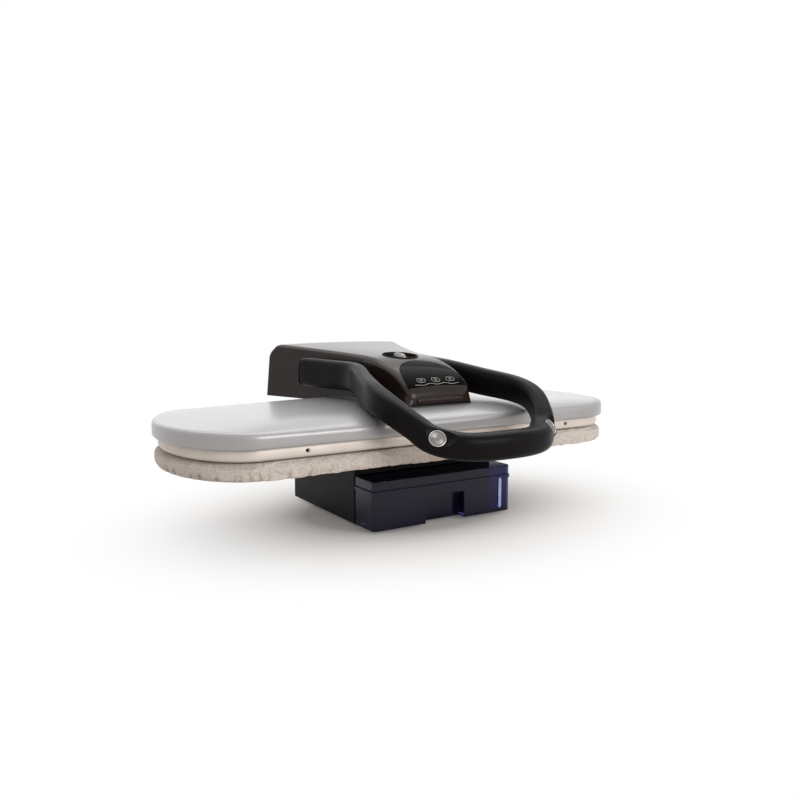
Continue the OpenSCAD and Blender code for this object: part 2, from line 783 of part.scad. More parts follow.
module arm_frame() color(steel) {
  z1 = frame_z + frame_t;
  side = lug_x - frame_t;
  difference() {
    block(-lug_x, lug_x, frame_front, hinge_y + hinge_r + 4, frame_z, z1);
    at_bolts() z_bar(0, 0, frame_z - 1, z1 + 1, bolt_d + 2 * fit_gap);
    z_bar(0, hose_y, frame_z - 1, z1 + 1, hose_d + hose_play);
    block(-hose_d, hose_d, hinge_y - 24, hinge_y + 7, frame_z - 1, z1 + 1);
  }
  both() {
    side_plate(side, lug_x) difference() {
      polygon([[frame_front + 10, z1 - 1], [hinge_y + hinge_r + 4, z1 - 1],
        [hinge_y + hinge_r + 4, z1 + 26],
        [pivot_y + 30, z1 + 30], [pivot_y + 18, pivot_z + 18], [pivot_y - 18, pivot_z + 18],
        [pivot_y - 30, z1 + 18], [frame_front + 10, z1 + 12]]);
      translate([pivot_y, pivot_z]) circle(d = shaft_d + 2 * bush_wall + 2 * fit_gap);
    }
    side_plate(lug_x - 0.5, lug_end) difference() {
      union() {
        translate([hinge_y, hinge_z]) circle(hinge_r);
        translate([hinge_y - hinge_r, hinge_z]) square([2 * hinge_r, z1 + 24 - hinge_z]);
      }
      translate([hinge_y, hinge_z]) circle(d = pin_d + 2 * bush_wall + 2 * fit_gap);
    }
  }
}

module tube_x(x0, x1, y, z, d_out, d_in) difference() {
  x_bar(x0, x1, y, z, d_out);
  x_bar(x0 - 1, x1 + 1, y, z, d_in);
}

module hinge_bushes() color(brass) both()
  tube_x(lug_x, lug_end, hinge_y, hinge_z, pin_d + 2 * bush_wall, pin_d + 2 * run_gap);

module shaft_bushes() color(brass) both()
  tube_x(lug_x - frame_t - 1, lug_x + 1, pivot_y, pivot_z, shaft_d + 2 * bush_wall, shaft_d + 2 * run_gap);

module steam_hose() color(pale) swept(hose_path([
  [0, hinge_y, arm_z0], [0, hinge_y, arm_z0 + 8], [0, hinge_y - 12, frame_z + 17],
  [0, pivot_y + 40, frame_z + 19], [0, hose_y + 14, frame_z + 18], [0, hose_y, frame_z + 6],
  [0, hose_y, mat_z + mat_t + 6], [0, hose_y, mat_z - seat_gap]], hose_d), 5, 12, 2, [1, 0, 0]);

// The panel's plan: flat at the nose, arched towards the dial
module panel_plan(grow) {
  points = [for (a = [0:7.5:180]) [(panel_half + grow) * cos(a), panel_y + (panel_rise + grow) * sin(a)]];
  y0 = panel_y - 6 - grow;
  polygon(concat(points, [[-panel_half - grow, y0], [panel_half + grow, y0]]));
}
module panel_prism(grow) { translate([0, 0, arm_z0]) linear_extrude(arm_h + 20) panel_plan(grow); }

// A panel button's outline, lying flat
module oval(grow) {
  r = button_h / 2 + grow;
  translate([button_h / 2 - button_w / 2, -r]) square([button_w - button_h, 2 * r]);
  for (s = [-1, 1]) translate([s * (button_w - button_h) / 2, 0]) circle(r);
}
module at_button(i) { on_arm(button_y) translate([i * button_pitch, 0, 0]) children(); }
module button_holes() {
  for (i = [-1:1]) at_button(i) translate([0, 0, -10]) linear_extrude(16) oval(slide_gap);
}

module arm_cover() color(brown) {
  difference() {
    intersection() {
      arm_form(0, 0);
      block(-rear_half * 2, rear_half * 2, nose_tip - 10, cap_y, z_edge - 10, arm_top_z + 20);
    }
    arm_form(-arm_wall, 20);
    lid_form(0.4, z_lid);
    difference() {
      panel_prism(seat_gap);
      arm_form(-panel_t, 20);
    }
    button_holes();
    on_arm(dial_y) translate([0, 0, -20]) cylinder(h = 40, d = dish_d + 2 * seat_gap);
    x_bar(-rear_half * 2, rear_half * 2, pivot_y, pivot_z, shaft_d + 4);
  }
  on_arm(button_y) both() z_bar(stud_x, 6, -board_drop, -arm_wall - 0.6, 6);
}

module rear_cap() color(brown) difference() {
  intersection() {
    arm_form(-0.8, 0);
    block(-rear_half * 2, rear_half * 2, cap_y + seat_gap, arm_rear + 10, z_edge - 10, arm_top_z + 20);
  }
  arm_form(-0.8 - arm_wall, 20);
}

function floor_half(y) = arm_half(y) + arm_draft - arm_wall - seat_gap - 2;
module arm_floor() color(black) {
  y0 = half_d + 2;
  y1 = cap_y - 4;
  right = [for (i = [0:6]) let (y = y0 + (y1 - y0) * i / 6) [floor_half(y), y]];
  left = [for (i = [6:-1:0]) [-right[i][0], right[i][1]]];
  difference() {
    translate([0, 0, arm_z0]) linear_extrude(2.5) polygon(concat(right, left));
    both() block(lug_x - 1.5, lug_end + 1, hinge_y - hinge_r - 1, hinge_y + hinge_r + 1,
      arm_z0 - 1, arm_z0 + 5);
    block(-hose_d, hose_d, hinge_y - 8, hinge_y + 8, arm_z0 - 1, arm_z0 + 5);
  }
}

module control_panel() color(black) difference() {
  intersection() {
    panel_prism(0);
    arm_form(0.3, 0);
  }
  arm_form(0.3 - panel_t, 20);
  button_holes();
}

module nose_trim() color(brown) {
  half = arm_half(nose_tip) - 3;
  z = arm_under(nose_tip) + lip_h / 2 + 1;
  side_plate(-half, half) polygon([for (a = [-90:15:90])
    [nose_tip - seat_gap - lip_t * cos(a), z + lip_h / 2 * sin(a)]]);
}

module dial_dish() color(black) on_arm(dial_y) rotate_extrude() polygon([
  [spindle_d / 2 + run_gap, -dish_h - dish_wall], [dish_d / 2 - 6, -dish_h - dish_wall],
  [dish_d / 2, -dish_h / 2], [dish_d / 2, 0.3], [dish_d / 2 - dish_wall, 0.3],
  [dish_d / 2 - dish_wall, -dish_h / 2], [dish_d / 2 - 6 - dish_wall / 2, -dish_h],
  [spindle_d / 2 + run_gap, -dish_h]]);

module dial_switch() color(steel) on_arm(dial_y) difference() {
  z_bar(0, 0, -dish_h - dish_wall - 16, -dish_h - dish_wall, 26);
  z_bar(0, 0, -dish_h - dish_wall - 10, -dish_h, spindle_d + 2 * run_gap);
}

module dial_knob() color(silver) on_arm(dial_y) {
  z0 = seat_gap - dish_h;
  z_bar(0, 0, -dish_h - dish_wall - 9, z0 + 1, spindle_d);
  z_bar(0, 0, z0, z0 + 3.5, dial_d);
  translate([0, dial_d / 2 - 2, z0 + 3]) rotate([90, 0, 0]) linear_extrude(dial_d - 4)
    polygon([[-8, 0], [8, 0], [5, 7], [3, 9], [-3, 9], [-5, 7]]);
}

module control_board() color("#2f5d3a") on_arm(button_y) {
  w = stud_x + 5;
  block(-w, w, -4, 16, -board_drop - 1.6, -board_drop);
  for (i = [-1:1]) block(i * button_pitch - 3, i * button_pitch + 3, -3, 3, -board_drop - 1, -7.2);
}

module panel_button(i) color(black) at_button(i) translate([0, 0, -button_depth])
  linear_extrude(button_depth + button_top) oval(0);
module left_button() { panel_button(-1); }
module middle_button() { panel_button(0); }
module right_button() { panel_button(1); }

// Handle

// Right half of the handle from the middle of the grip to its rear end: x, y, z, width, height
limb_path = [
  [0, y_grip, z_grip + 0.5, grip_t, grip_t + 2],
  [60, y_grip + 10, z_grip + 1, grip_t, grip_t + 0.5],
  [handle_half - 35, y_grip + 38, z_grip + 9, grip_t - 1, grip_t],
  [handle_half - 17, y_grip + 60, z_grip + 26, limb_w + 3, grip_t - 2],
  [handle_half - 2, y_grip + 97, z_grip + 46, limb_w + 2, 0.78 * limb_h],
  [handle_half - 3, -half_d + 26, pivot_z - 19.5, limb_w + 1, 0.86 * limb_h],
  [handle_half - 22, -half_d + 90, pivot_z - 11, limb_w, 0.92 * limb_h],
  [nose_half + 29, -half_d + 156, pivot_z - 1.5, limb_w, 0.95 * limb_h],
  [nose_half + 37, pivot_y - 42, pivot_z - 0.5, limb_w, 0.98 * limb_h],
  [nose_half + 51, pivot_y + 18, pivot_z, limb_w, limb_h],
  [nose_half + 53, pivot_y + 26, pivot_z, 0.92 * limb_w, 0.92 * limb_h],
  [nose_half + 54, pivot_y + 31, pivot_z, 0.6 * limb_w, 0.68 * limb_h]];
function mirrored(path) = [for (i = [len(path) - 1:-1:1])
  let (p = path[i]) [-p[0], p[1], p[2], p[3], p[4]]];

module at_thumb() {
  translate([thumb_x, thumb_y, thumb_z]) rotate([thumb_tilt, 0, thumb_turn]) children();
}

module handle_loop() color(black) difference() {
  swept(concat(mirrored(limb_path), limb_path), 5, 24, 3.2, [0, 0, 1]);
  both() at_thumb() z_bar(0, 0, thumb_floor, 40, thumb_d + 2 * ring_w + 2 * seat_gap);
  x_bar(-shaft_half - seat_gap, shaft_half + seat_gap, pivot_y, pivot_z, shaft_d + 2 * fit_gap);
}

module handle_shaft() color(steel) x_bar(-shaft_half, shaft_half, pivot_y, pivot_z, shaft_d);

module pressure_cams() color(steel) both() difference() {
  x_bar(cam_x, cam_x + cam_w, pivot_y, pivot_z - cam_throw, 2 * cam_r);
  x_bar(cam_x - 1, cam_x + cam_w + 1, pivot_y, pivot_z, shaft_d + 2 * fit_gap);
}

module pressure_pads() color(steel) both()
  block(cam_x, cam_x + cam_w, pivot_y - 11, pivot_y + 11, frame_z + frame_t,
    pivot_z - cam_throw - cam_r - seat_gap);

module button_rings() color(silver) both() at_thumb() difference() {
  z_bar(0, 0, thumb_floor, thumb_floor + 7, thumb_d + 2 * ring_w);
  z_bar(0, 0, thumb_floor - 1, thumb_floor + 8, thumb_d + 2 * slide_gap);
}

module thumb() color(silver) at_thumb() rotate_extrude() polygon([
  [0, thumb_floor + 2.5], [thumb_d / 2, thumb_floor + 2.5], [thumb_d / 2, thumb_floor + 7],
  [thumb_d / 2 - 1, thumb_floor + 8], [0, thumb_floor + 8.4]]);
module left_thumb() { mirror([1, 0, 0]) thumb(); }
module right_thumb() { thumb(); }

base_shell();
base_plate();
feet();
base_screws();
rear_tower();
hinge_bracket();
hinge_pins();
lift_springs();
board_rails();
board_pan();
board_pad();
board_cover();
pump();
pump_mount();
inlet_socket();
suction_hose();
water_hose();
hose_flex();
cord_gland();
tank_tub();
tank_lid();
tank_seal();
tank_valve();
lid_shell();
platen_frame();
frame_screws();
heat_plate();
heating_element();
press_beam();
beam_posts();
arm_bolts();
insulation_mat();
steam_chamber();
thermostat();
steam_hose();
arm_frame();
hinge_bushes();
arm_cover();
arm_floor();
rear_cap();
control_panel();
nose_trim();
dial_dish();
dial_switch();
control_board();
shaft_bushes();
pressure_pads();
handle_loop();
handle_shaft();
pressure_cams();
button_rings();
dial_knob();
left_button();
middle_button();
right_button();
left_thumb();
right_thumb();
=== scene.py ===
import json
import math

import bmesh
import bpy
import numpy as np
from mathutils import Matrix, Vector


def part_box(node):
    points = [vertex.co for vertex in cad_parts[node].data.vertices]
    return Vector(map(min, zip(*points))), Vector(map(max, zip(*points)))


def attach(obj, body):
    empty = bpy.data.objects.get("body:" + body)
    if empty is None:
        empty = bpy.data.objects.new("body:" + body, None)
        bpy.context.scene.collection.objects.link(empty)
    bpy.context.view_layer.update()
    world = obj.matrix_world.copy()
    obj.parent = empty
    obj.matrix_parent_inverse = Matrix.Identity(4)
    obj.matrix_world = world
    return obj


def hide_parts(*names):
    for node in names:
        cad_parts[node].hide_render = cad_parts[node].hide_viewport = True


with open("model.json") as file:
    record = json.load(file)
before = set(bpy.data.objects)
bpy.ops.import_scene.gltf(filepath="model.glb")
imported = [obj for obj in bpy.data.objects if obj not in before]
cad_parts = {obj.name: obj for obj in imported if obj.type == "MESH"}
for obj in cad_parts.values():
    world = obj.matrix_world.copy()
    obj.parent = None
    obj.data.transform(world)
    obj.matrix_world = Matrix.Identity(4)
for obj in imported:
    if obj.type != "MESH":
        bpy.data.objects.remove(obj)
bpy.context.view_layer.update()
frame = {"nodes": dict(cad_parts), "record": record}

scene = bpy.context.scene
scene.view_settings.view_transform = "Standard"
nodes = frame["nodes"]
metre = 0.001            # shapes are worked out in millimetres
print("stage: frame loaded,", len(nodes), "nodes")

# Camera, as the photograph was taken: from the front left, a little above the lid
view = {"place": (-0.701, -1.1074, 0.3358), "tilt": 83.25, "turn": -31.94, "lens": 36.245}
camera = bpy.data.objects.new("camera", bpy.data.cameras.new("camera"))
camera.location = view["place"]
camera.rotation_euler = (math.radians(view["tilt"]), 0, math.radians(view["turn"]))
camera.data.lens, camera.data.sensor_width = view["lens"], 36
scene.collection.objects.link(camera)
scene.camera = camera


# Small tools for nodes and colours

# an sRGB hex colour as linear numbers
def srgb(text):
    v = np.array([int(text[i:i + 2], 16) for i in (1, 3, 5)]) / 255
    return (*np.where(v <= 0.04045, v / 12.92, ((v + 0.055) / 1.055) ** 2.4).tolist(), 1.0)


# a node with its settings, its own values and the links into it
def addNode(tree, kind, links=None, values=None, **settings):
    node = tree.nodes.new("ShaderNode" + kind)
    for key, value in settings.items():
        setattr(node, key, value)
    for socket, value in (values or {}).items():
        node.inputs[socket].default_value = value
    for socket, source in (links or {}).items():
        tree.links.new(source, node.inputs[socket])
    return node


# Studio: white to the eye, soft lamps over, behind and in front of the press
studio = {"fill": 0.46, "floor": "#d3c9c2", "floorSize": 9.0, "shadeShape": (0.76, 1.0, 0.0),
          "nearShade": 0.13, "farShade": 0.42, "nearWhite": 0.1, "shadeCurve": 0.45}
lamps = {  # place, aim, width and depth in metres, watts
    "overheadPanel": ((0.1, 0.5, 1.9), (0.0, 0.0, 0.15), 2.8, 2.0, 25.0),
    "frontPanel": ((0.5, -2.3, 0.9), (0.0, -0.1, 0.12), 1.4, 1.0, 24.0),
    "backPanel": ((0.9, 2.4, 0.75), (0.0, 0.0, 0.2), 3.2, 0.9, 5.0),
}


# 1 for rays from the camera, off a gloss or through something clear, and 0 for the light that falls
def raysThatSee(tree):
    path = addNode(tree, "LightPath")
    both = addNode(tree, "Math", {0: path.outputs["Is Camera Ray"], 1: path.outputs["Is Glossy Ray"]},
                   operation="MAXIMUM")
    return addNode(tree, "Math", {0: both.outputs[0], 1: path.outputs["Is Transmission Ray"]},
                   operation="MAXIMUM").outputs[0]


world = bpy.data.worlds.new("studio")
world.use_nodes = True
scene.world = world
tree = world.node_tree
tree.nodes.clear()
fillLight = addNode(tree, "Background", values={"Color": (1, 1, 1, 1), "Strength": studio["fill"]})
whiteLight = addNode(tree, "Background", values={"Color": (1, 1, 1, 1), "Strength": 1.0})
sky = addNode(tree, "MixShader", {0: raysThatSee(tree), 1: fillLight.outputs[0], 2: whiteLight.outputs[0]})
addNode(tree, "OutputWorld", {"Surface": sky.outputs[0]})

for name, (place, aim, width, depth, watts) in lamps.items():
    lamp = bpy.data.objects.new(name, bpy.data.lights.new(name, "AREA"))
    lamp.data.shape, lamp.data.size, lamp.data.size_y, lamp.data.energy = "RECTANGLE", width, depth, watts
    lamp.location = place
    lamp.rotation_euler = (Vector(aim) - Vector(place)).to_track_quat("-Z", "Y").to_euler()
    lamp.visible_camera = False
    scene.collection.objects.link(lamp)

# floor: pale paper that keeps the shadow near the press and turns white to the eye over an oval round it
half = studio["floorSize"] / 2
floorMesh = bpy.data.meshes.new("floor")
corners = [(-half, -half, 0), (half, -half, 0), (half, half, 0), (-half, half, 0)]
floorMesh.from_pydata(corners, [], [(0, 1, 2, 3)])
floor = bpy.data.objects.new("floor", floorMesh)
scene.collection.objects.link(floor)
paper = bpy.data.materials.new("backdropPaper")
paper.use_nodes = True
tree = paper.node_tree
tree.nodes.clear()
spot = addNode(tree, "TexCoord").outputs["Object"]
oval = addNode(tree, "VectorMath", {0: spot}, {1: studio["shadeShape"]}, operation="MULTIPLY").outputs[0]
away = addNode(tree, "VectorMath", {0: oval}, operation="LENGTH").outputs["Value"]
fade = addNode(tree, "MapRange", {"Value": away},
               {"From Min": studio["nearShade"], "From Max": studio["farShade"]},
               interpolation_type="SMOOTHSTEP")
steep = addNode(tree, "Math", {0: fade.outputs[0]}, {1: studio["shadeCurve"]}, operation="POWER")
white = addNode(tree, "MapRange", {"Value": steep.outputs[0]}, {"To Min": studio["nearWhite"]})
shown = addNode(tree, "Math", {0: white.outputs[0], 1: raysThatSee(tree)}, operation="MULTIPLY")
matt = addNode(tree, "BsdfDiffuse", values={"Color": srgb(studio["floor"])})
bright = addNode(tree, "Emission", values={"Strength": 1.0})
mixed = addNode(tree, "MixShader", {0: shown.outputs[0], 1: matt.outputs[0], 2: bright.outputs[0]})
addNode(tree, "OutputMaterial", {"Surface": mixed.outputs[0]})
floorMesh.materials.append(paper)
print("stage: studio")

# Finishes. Each is two close colours under a soft mottle, with a finer grain in roughness and bump.
# mottle and grain are sizes in mm, lift is the grain's height in mm, sockets are the shader's own values.
finishes = {
    # lid: silver base-coat paint on pressed steel under a thin lacquer; grey from the side, bright when
    # seen at a low angle
    "silverBasecoatPaint": dict(colours=("#a3a1a1", "#a8a6a6"), mottle=60, grain=1.1, lift=0.008,
                                rough=(0.32, 0.42), sockets={"Metallic": 0.35, "Coat Weight": 0.35,
                                                             "Coat Roughness": 0.2}),
    # band: champagne ABS moulding, satin from a spark-eroded mould; warm and slightly cloudy
    "champagneAbs": dict(colours=("#d6ccc2", "#e0d8ce"), mottle=35, grain=0.9, lift=0.015,
                         rough=(0.34, 0.46), sockets={"Metallic": 0.15}),
    # stand and tower: black ABS with a fine moulded texture, dull with soft edges
    "texturedBlackAbs": dict(colours=("#0f0e0d", "#151312"), mottle=40, grain=1.2, lift=0.05,
                             rough=(0.45, 0.6), sockets={"Specular IOR Level": 0.12}),
    # arm: brown-black ABS from a polished mould; nearly black, mirrors the light at a low angle
    "polishedBrownAbs": dict(colours=("#231916", "#2c201c"), mottle=45, grain=1.6, lift=0.006,
                             rough=(0.24, 0.32), sockets={"Specular IOR Level": 0.12, "Coat Weight": 0.25,
                                                          "Coat Roughness": 0.12}),
    # panel: gloss black acrylic sheet, even and deep, with faint wipe marks
    "glossAcrylic": dict(colours=("#080707", "#0c0b0a"), mottle=25, grain=3.0, lift=0.002,
                         rough=(0.05, 0.1), sockets={"Specular IOR Level": 0.02}),
    # handle: black glass-filled nylon, satin; broad soft highlights and a hint of grain
    "satinBlackNylon": dict(colours=("#0e0c0b", "#141110"), mottle=30, grain=1.4, lift=0.015,
                            rough=(0.3, 0.4), sockets={"Specular IOR Level": 0.07}),
    # rings and dial: satin chrome on ABS; bright with a slight haze
    "satinChrome": dict(colours=("#b2b1b0", "#c6c5c4"), mottle=8, grain=0.6, lift=0.004,
                        rough=(0.14, 0.24), sockets={"Metallic": 1.0}),
    # thumb discs: spun stainless steel; grey, its turned rings catch the light
    "spunSteel": dict(colours=("#787573", "#8c8987"), mottle=5, grain=0.5, lift=0.004,
                      rough=(0.24, 0.36), sockets={"Metallic": 1.0}),
    # screws in the band: steel made near black as painted shade for the dark inside their holes; dull
    "holeShadeSteel": dict(colours=("#1a1817", "#242120"), mottle=4, grain=0.5, lift=0.004,
                            rough=(0.4, 0.55), sockets={"Metallic": 1.0}),
    # zinc-plated steel inside and under the press: grey with a drifting bloom
    "zincPlatedSteel": dict(colours=("#8f9296", "#a3a5a8"), mottle=14, grain=0.8, lift=0.01,
                            rough=(0.3, 0.46), sockets={"Metallic": 1.0}),
    # hot plate: die-cast aluminium, ground flat; pale with a fine cast grain
    "castAluminium": dict(colours=("#b4b6b8", "#c3c4c6"), mottle=30, grain=0.9, lift=0.02,
                          rough=(0.36, 0.5), sockets={"Metallic": 1.0}),
    # pump and switch: grey polyamide, matt moulded
    "greyPolyamide": dict(colours=("#55565a", "#5f6064"), mottle=12, grain=0.8, lift=0.03,
                          rough=(0.5, 0.62), sockets={"Specular IOR Level": 0.4}),
    # bushes and thermostat: turned brass
    "turnedBrass": dict(colours=("#a98a4f", "#bb9b5d"), mottle=6, grain=0.4, lift=0.006,
                        rough=(0.22, 0.34), sockets={"Metallic": 1.0}),
    # seals and pleated hose: black nitrile rubber, dusty and dull
    "nitrileRubber": dict(colours=("#191817", "#232120"), mottle=10, grain=0.7, lift=0.03,
                          rough=(0.62, 0.78), sockets={"Specular IOR Level": 0.3}),
    # feet: pale thermoplastic rubber, matt with a little grime
    "paleFootRubber": dict(colours=("#e6dfd4", "#d8cfc2"), mottle=9, grain=0.8, lift=0.04,
                           rough=(0.62, 0.76), sockets={"Specular IOR Level": 0.3}),
    # hoses: milky silicone, soft sheen
    "milkySilicone": dict(colours=("#cfc8ba", "#dad4c8"), mottle=12, grain=1.0, lift=0.01,
                          rough=(0.34, 0.46), sockets={"Subsurface Weight": 0.1}),
    # mats: needled wool felt, fibrous
    "needledFelt": dict(colours=("#cfc6b6", "#dcd5c8"), mottle=5, grain=0.7, lift=0.12,
                        rough=(0.86, 0.97), sockets={"Sheen Weight": 0.3}),
    # control board: green glass-epoxy laminate, with the weave just under the lacquer
    "glassEpoxyBoard": dict(colours=("#2b5636", "#33633f"), mottle=3, grain=0.8, lift=0.01,
                            rough=(0.3, 0.42), sockets={}),
    # gauge window in the tank's front: frosted pale-blue SAN, bright against the dark tank
    "frostedBlueSan": dict(colours=("#97a0dc", "#b3bbec"), mottle=14, grain=1.0, lift=0.02,
                           rough=(0.28, 0.42), sockets={"Subsurface Weight": 0.15}),
    # printed marks on the panel: pale screen ink, thin and flat
    "paleScreenInk": dict(colours=("#cfcac4", "#e0dcd7"), mottle=4, grain=0.5, lift=0.002,
                          rough=(0.4, 0.5), sockets={"Specular IOR Level": 0.3}),
}


# a new material with these values on its shader's own sockets
def newMaterial(name, sockets):
    material = bpy.data.materials.new(name)
    material.use_nodes = True
    tree = material.node_tree
    shader = tree.nodes["Principled BSDF"]
    for socket, value in sockets.items():
        shader.inputs[socket].default_value = value
    return material, tree, shader


noiseSpan = {"From Min": 0.3, "From Max": 0.7}  # most of a noise lies between these


def makeFinish(name, look):
    material, tree, shader = newMaterial(name, look["sockets"])
    place = addNode(tree, "TexCoord").outputs["Object"]
    mottle = addNode(tree, "TexNoise", {"Vector": place}, {"Scale": 1000 / look["mottle"], "Detail": 3.0})
    grain = addNode(tree, "TexNoise", {"Vector": place}, {"Scale": 1000 / look["grain"], "Detail": 2.0})
    share = addNode(tree, "MapRange", {"Value": mottle.outputs["Fac"]}, noiseSpan)
    tone = addNode(tree, "Mix", {0: share.outputs[0]},
                   {6: srgb(look["colours"][0]), 7: srgb(look["colours"][1])}, data_type="RGBA")
    low, high = look["rough"]
    rough = addNode(tree, "MapRange", {"Value": grain.outputs["Fac"]},
                    {**noiseSpan, "To Min": low, "To Max": high})
    bump = addNode(tree, "Bump", {"Height": grain.outputs["Fac"]},
                   {"Strength": 1.0, "Distance": look["lift"] * metre})
    tree.links.new(tone.outputs[2], shader.inputs["Base Color"])
    tree.links.new(rough.outputs[0], shader.inputs["Roughness"])
    tree.links.new(bump.outputs[0], shader.inputs["Normal"])
    return material


finish = {name: makeFinish(name, look) for name, look in finishes.items()}

# tank: smoke-blue SAN, injection moulded and clear; dark where it is thick, blue-violet at its edges
tankLook = {"colours": ("#46457f", "#545390"), "mottle": 55, "ripple": 18, "lift": 0.01,
            "rough": (0.06, 0.16),
            "sockets": {"Transmission Weight": 0.97, "IOR": 1.36, "Specular IOR Level": 0.15}}
finish["smokedSan"], tree, shader = newMaterial("smokedSan", tankLook["sockets"])
place = addNode(tree, "TexCoord").outputs["Object"]
cloud = addNode(tree, "TexNoise", {"Vector": place}, {"Scale": 1000 / tankLook["mottle"], "Detail": 2.0})
ripple = addNode(tree, "TexNoise", {"Vector": place}, {"Scale": 1000 / tankLook["ripple"], "Detail": 1.0})
tone = addNode(tree, "Mix", {0: cloud.outputs["Fac"]},
               {6: srgb(tankLook["colours"][0]), 7: srgb(tankLook["colours"][1])}, data_type="RGBA")
low, high = tankLook["rough"]
rough = addNode(tree, "MapRange", {"Value": cloud.outputs["Fac"]}, {"To Min": low, "To Max": high})
bump = addNode(tree, "Bump", {"Height": ripple.outputs["Fac"]}, {"Distance": tankLook["lift"] * metre})
tree.links.new(tone.outputs[2], shader.inputs["Base Color"])
tree.links.new(rough.outputs[0], shader.inputs["Roughness"])
tree.links.new(bump.outputs[0], shader.inputs["Normal"])

# cover: plain-woven melange cotton in beige; threads about 0.7 mm apart are drawn 2 mm apart, so that they
# show, and its slubs give the speckle; its creases carry painted shade, a darker colour by their depth
coverLook = {"colours": ("#bdb1a6", "#e6ded6"), "creaseShade": "#9b9086", "thread": 2.0, "waver": 2.5, "slub": 3.4,
             "cloud": 40, "lift": 0.14, "weaveShare": 0.35, "cloudShare": 0.25, "toneRange": (0.43, 0.93),
             "sockets": {"Roughness": 0.9, "Sheen Weight": 0.25, "Sheen Roughness": 0.5,
                         "Specular IOR Level": 0.2}}
finish["wovenCotton"], tree, shader = newMaterial("wovenCotton", coverLook["sockets"])
place = addNode(tree, "TexCoord").outputs["UV"]
waveScale = 2 * math.pi / 20 * 1000 / coverLook["thread"]  # a band wave's period is 2 pi / 20 over its scale
threadLook = {"Scale": waveScale, "Distortion": coverLook["waver"], "Detail": 2.0}
warp = addNode(tree, "TexWave", {"Vector": place}, threadLook, bands_direction="X")
weft = addNode(tree, "TexWave", {"Vector": place}, threadLook, bands_direction="Y")
cross = addNode(tree, "Math", {0: warp.outputs["Fac"], 1: weft.outputs["Fac"]}, operation="MULTIPLY")
slub = addNode(tree, "TexNoise", {"Vector": place}, {"Scale": 1000 / coverLook["slub"], "Detail": 4.0})
cloud = addNode(tree, "TexNoise", {"Vector": place}, {"Scale": 1000 / coverLook["cloud"], "Detail": 2.0})
yarn = addNode(tree, "Math", {0: cross.outputs[0], 2: slub.outputs["Fac"]}, {1: coverLook["weaveShare"]},
               operation="MULTIPLY_ADD")
speckle = addNode(tree, "Math", {0: cloud.outputs["Fac"], 2: yarn.outputs[0]}, {1: coverLook["cloudShare"]},
                  operation="MULTIPLY_ADD")
darkest, palest = coverLook["toneRange"]
share = addNode(tree, "MapRange", {"Value": speckle.outputs[0]}, {"From Min": darkest, "From Max": palest})
cloth = addNode(tree, "Mix", {0: share.outputs[0]},
                {6: srgb(coverLook["colours"][0]), 7: srgb(coverLook["colours"][1])}, data_type="RGBA")
# painted shade: the cloth's colour goes towards the darker crease colour as deep as the crease is
creaseShade = addNode(tree, "Attribute", attribute_name="creaseShade")
tone = addNode(tree, "Mix", {0: creaseShade.outputs["Fac"], 6: cloth.outputs[2]}, {7: srgb(coverLook["creaseShade"])},
               data_type="RGBA")
bump = addNode(tree, "Bump", {"Height": yarn.outputs[0]}, {"Distance": coverLook["lift"] * metre})
tree.links.new(tone.outputs[2], shader.inputs["Base Color"])
tree.links.new(bump.outputs[0], shader.inputs["Normal"])
print("stage: finishes,", len(finish))


# Small tools for shapes

weld = 2e-6              # points closer than this, in metres, become one


# quads between neighbouring lines of a grid; a wrapped direction joins its last line to its first
def gridFaces(rows, cols, wrapRows=False, wrapCols=True):
    i = np.arange(rows if wrapRows else rows - 1)[:, None]
    j = np.arange(cols if wrapCols else cols - 1)[None, :]
    corners = (i * cols + j, i * cols + (j + 1) % cols,
               (i + 1) % rows * cols + (j + 1) % cols, (i + 1) % rows * cols + j)
    return np.stack(np.broadcast_arrays(*corners), -1).reshape(-1, 4)


# a piece from grids of points in mm: each part is (points, wrapRows, wrapCols)
def makePiece(name, parts, sharp=40, shell=False):
    points, faces, start = [], [], 0
    for grid, wrapRows, wrapCols in parts:
        points.append(grid.reshape(-1, 3))
        faces.append(gridFaces(grid.shape[0], grid.shape[1], wrapRows, wrapCols) + start)
        start += points[-1].shape[0]
    mesh = bpy.data.meshes.new(name)
    mesh.from_pydata((np.concatenate(points) * metre).tolist(), [], np.concatenate(faces).tolist())
    work = bmesh.new()
    work.from_mesh(mesh)
    bmesh.ops.remove_doubles(work, verts=work.verts, dist=weld)
    bmesh.ops.recalc_face_normals(work, faces=work.faces)
    if shell:  # an open shell's highest face has to look up
        top = max(work.faces, key=lambda f: f.calc_center_median().z)
        if top.normal.z < 0:
            bmesh.ops.reverse_faces(work, faces=work.faces)
    work.to_mesh(mesh)
    work.free()
    mesh.shade_smooth()
    mesh.set_sharp_from_angle(angle=math.radians(sharp))
    piece = bpy.data.objects.new(name, mesh)
    scene.collection.objects.link(piece)
    return piece


# the piece's modifiers made into its mesh
def applyModifiers(piece):
    graph = bpy.context.evaluated_depsgraph_get()
    mesh = bpy.data.meshes.new_from_object(piece.evaluated_get(graph), preserve_all_data_layers=True,
                                           depsgraph=graph)
    old = piece.data
    piece.modifiers.clear()
    piece.data = mesh
    bpy.data.meshes.remove(old)
    return piece


# a wall on the inner side of an open shell
def thicken(piece, wall):
    solid = piece.modifiers.new("wall", "SOLIDIFY")
    solid.thickness, solid.offset, solid.use_even_offset = wall * metre, -1, False
    return applyModifiers(piece)


# the piece less its cutters, which are removed after that
def cutOut(piece, *cutters, solver="EXACT", sharp=40):
    for cutter in cutters:
        hole = piece.modifiers.new("hole", "BOOLEAN")
        hole.object, hole.operation, hole.solver = cutter, "DIFFERENCE", solver
    applyModifiers(piece)
    for cutter in cutters:
        bpy.data.objects.remove(cutter)
    piece.data.set_sharp_from_angle(angle=math.radians(sharp))
    return piece


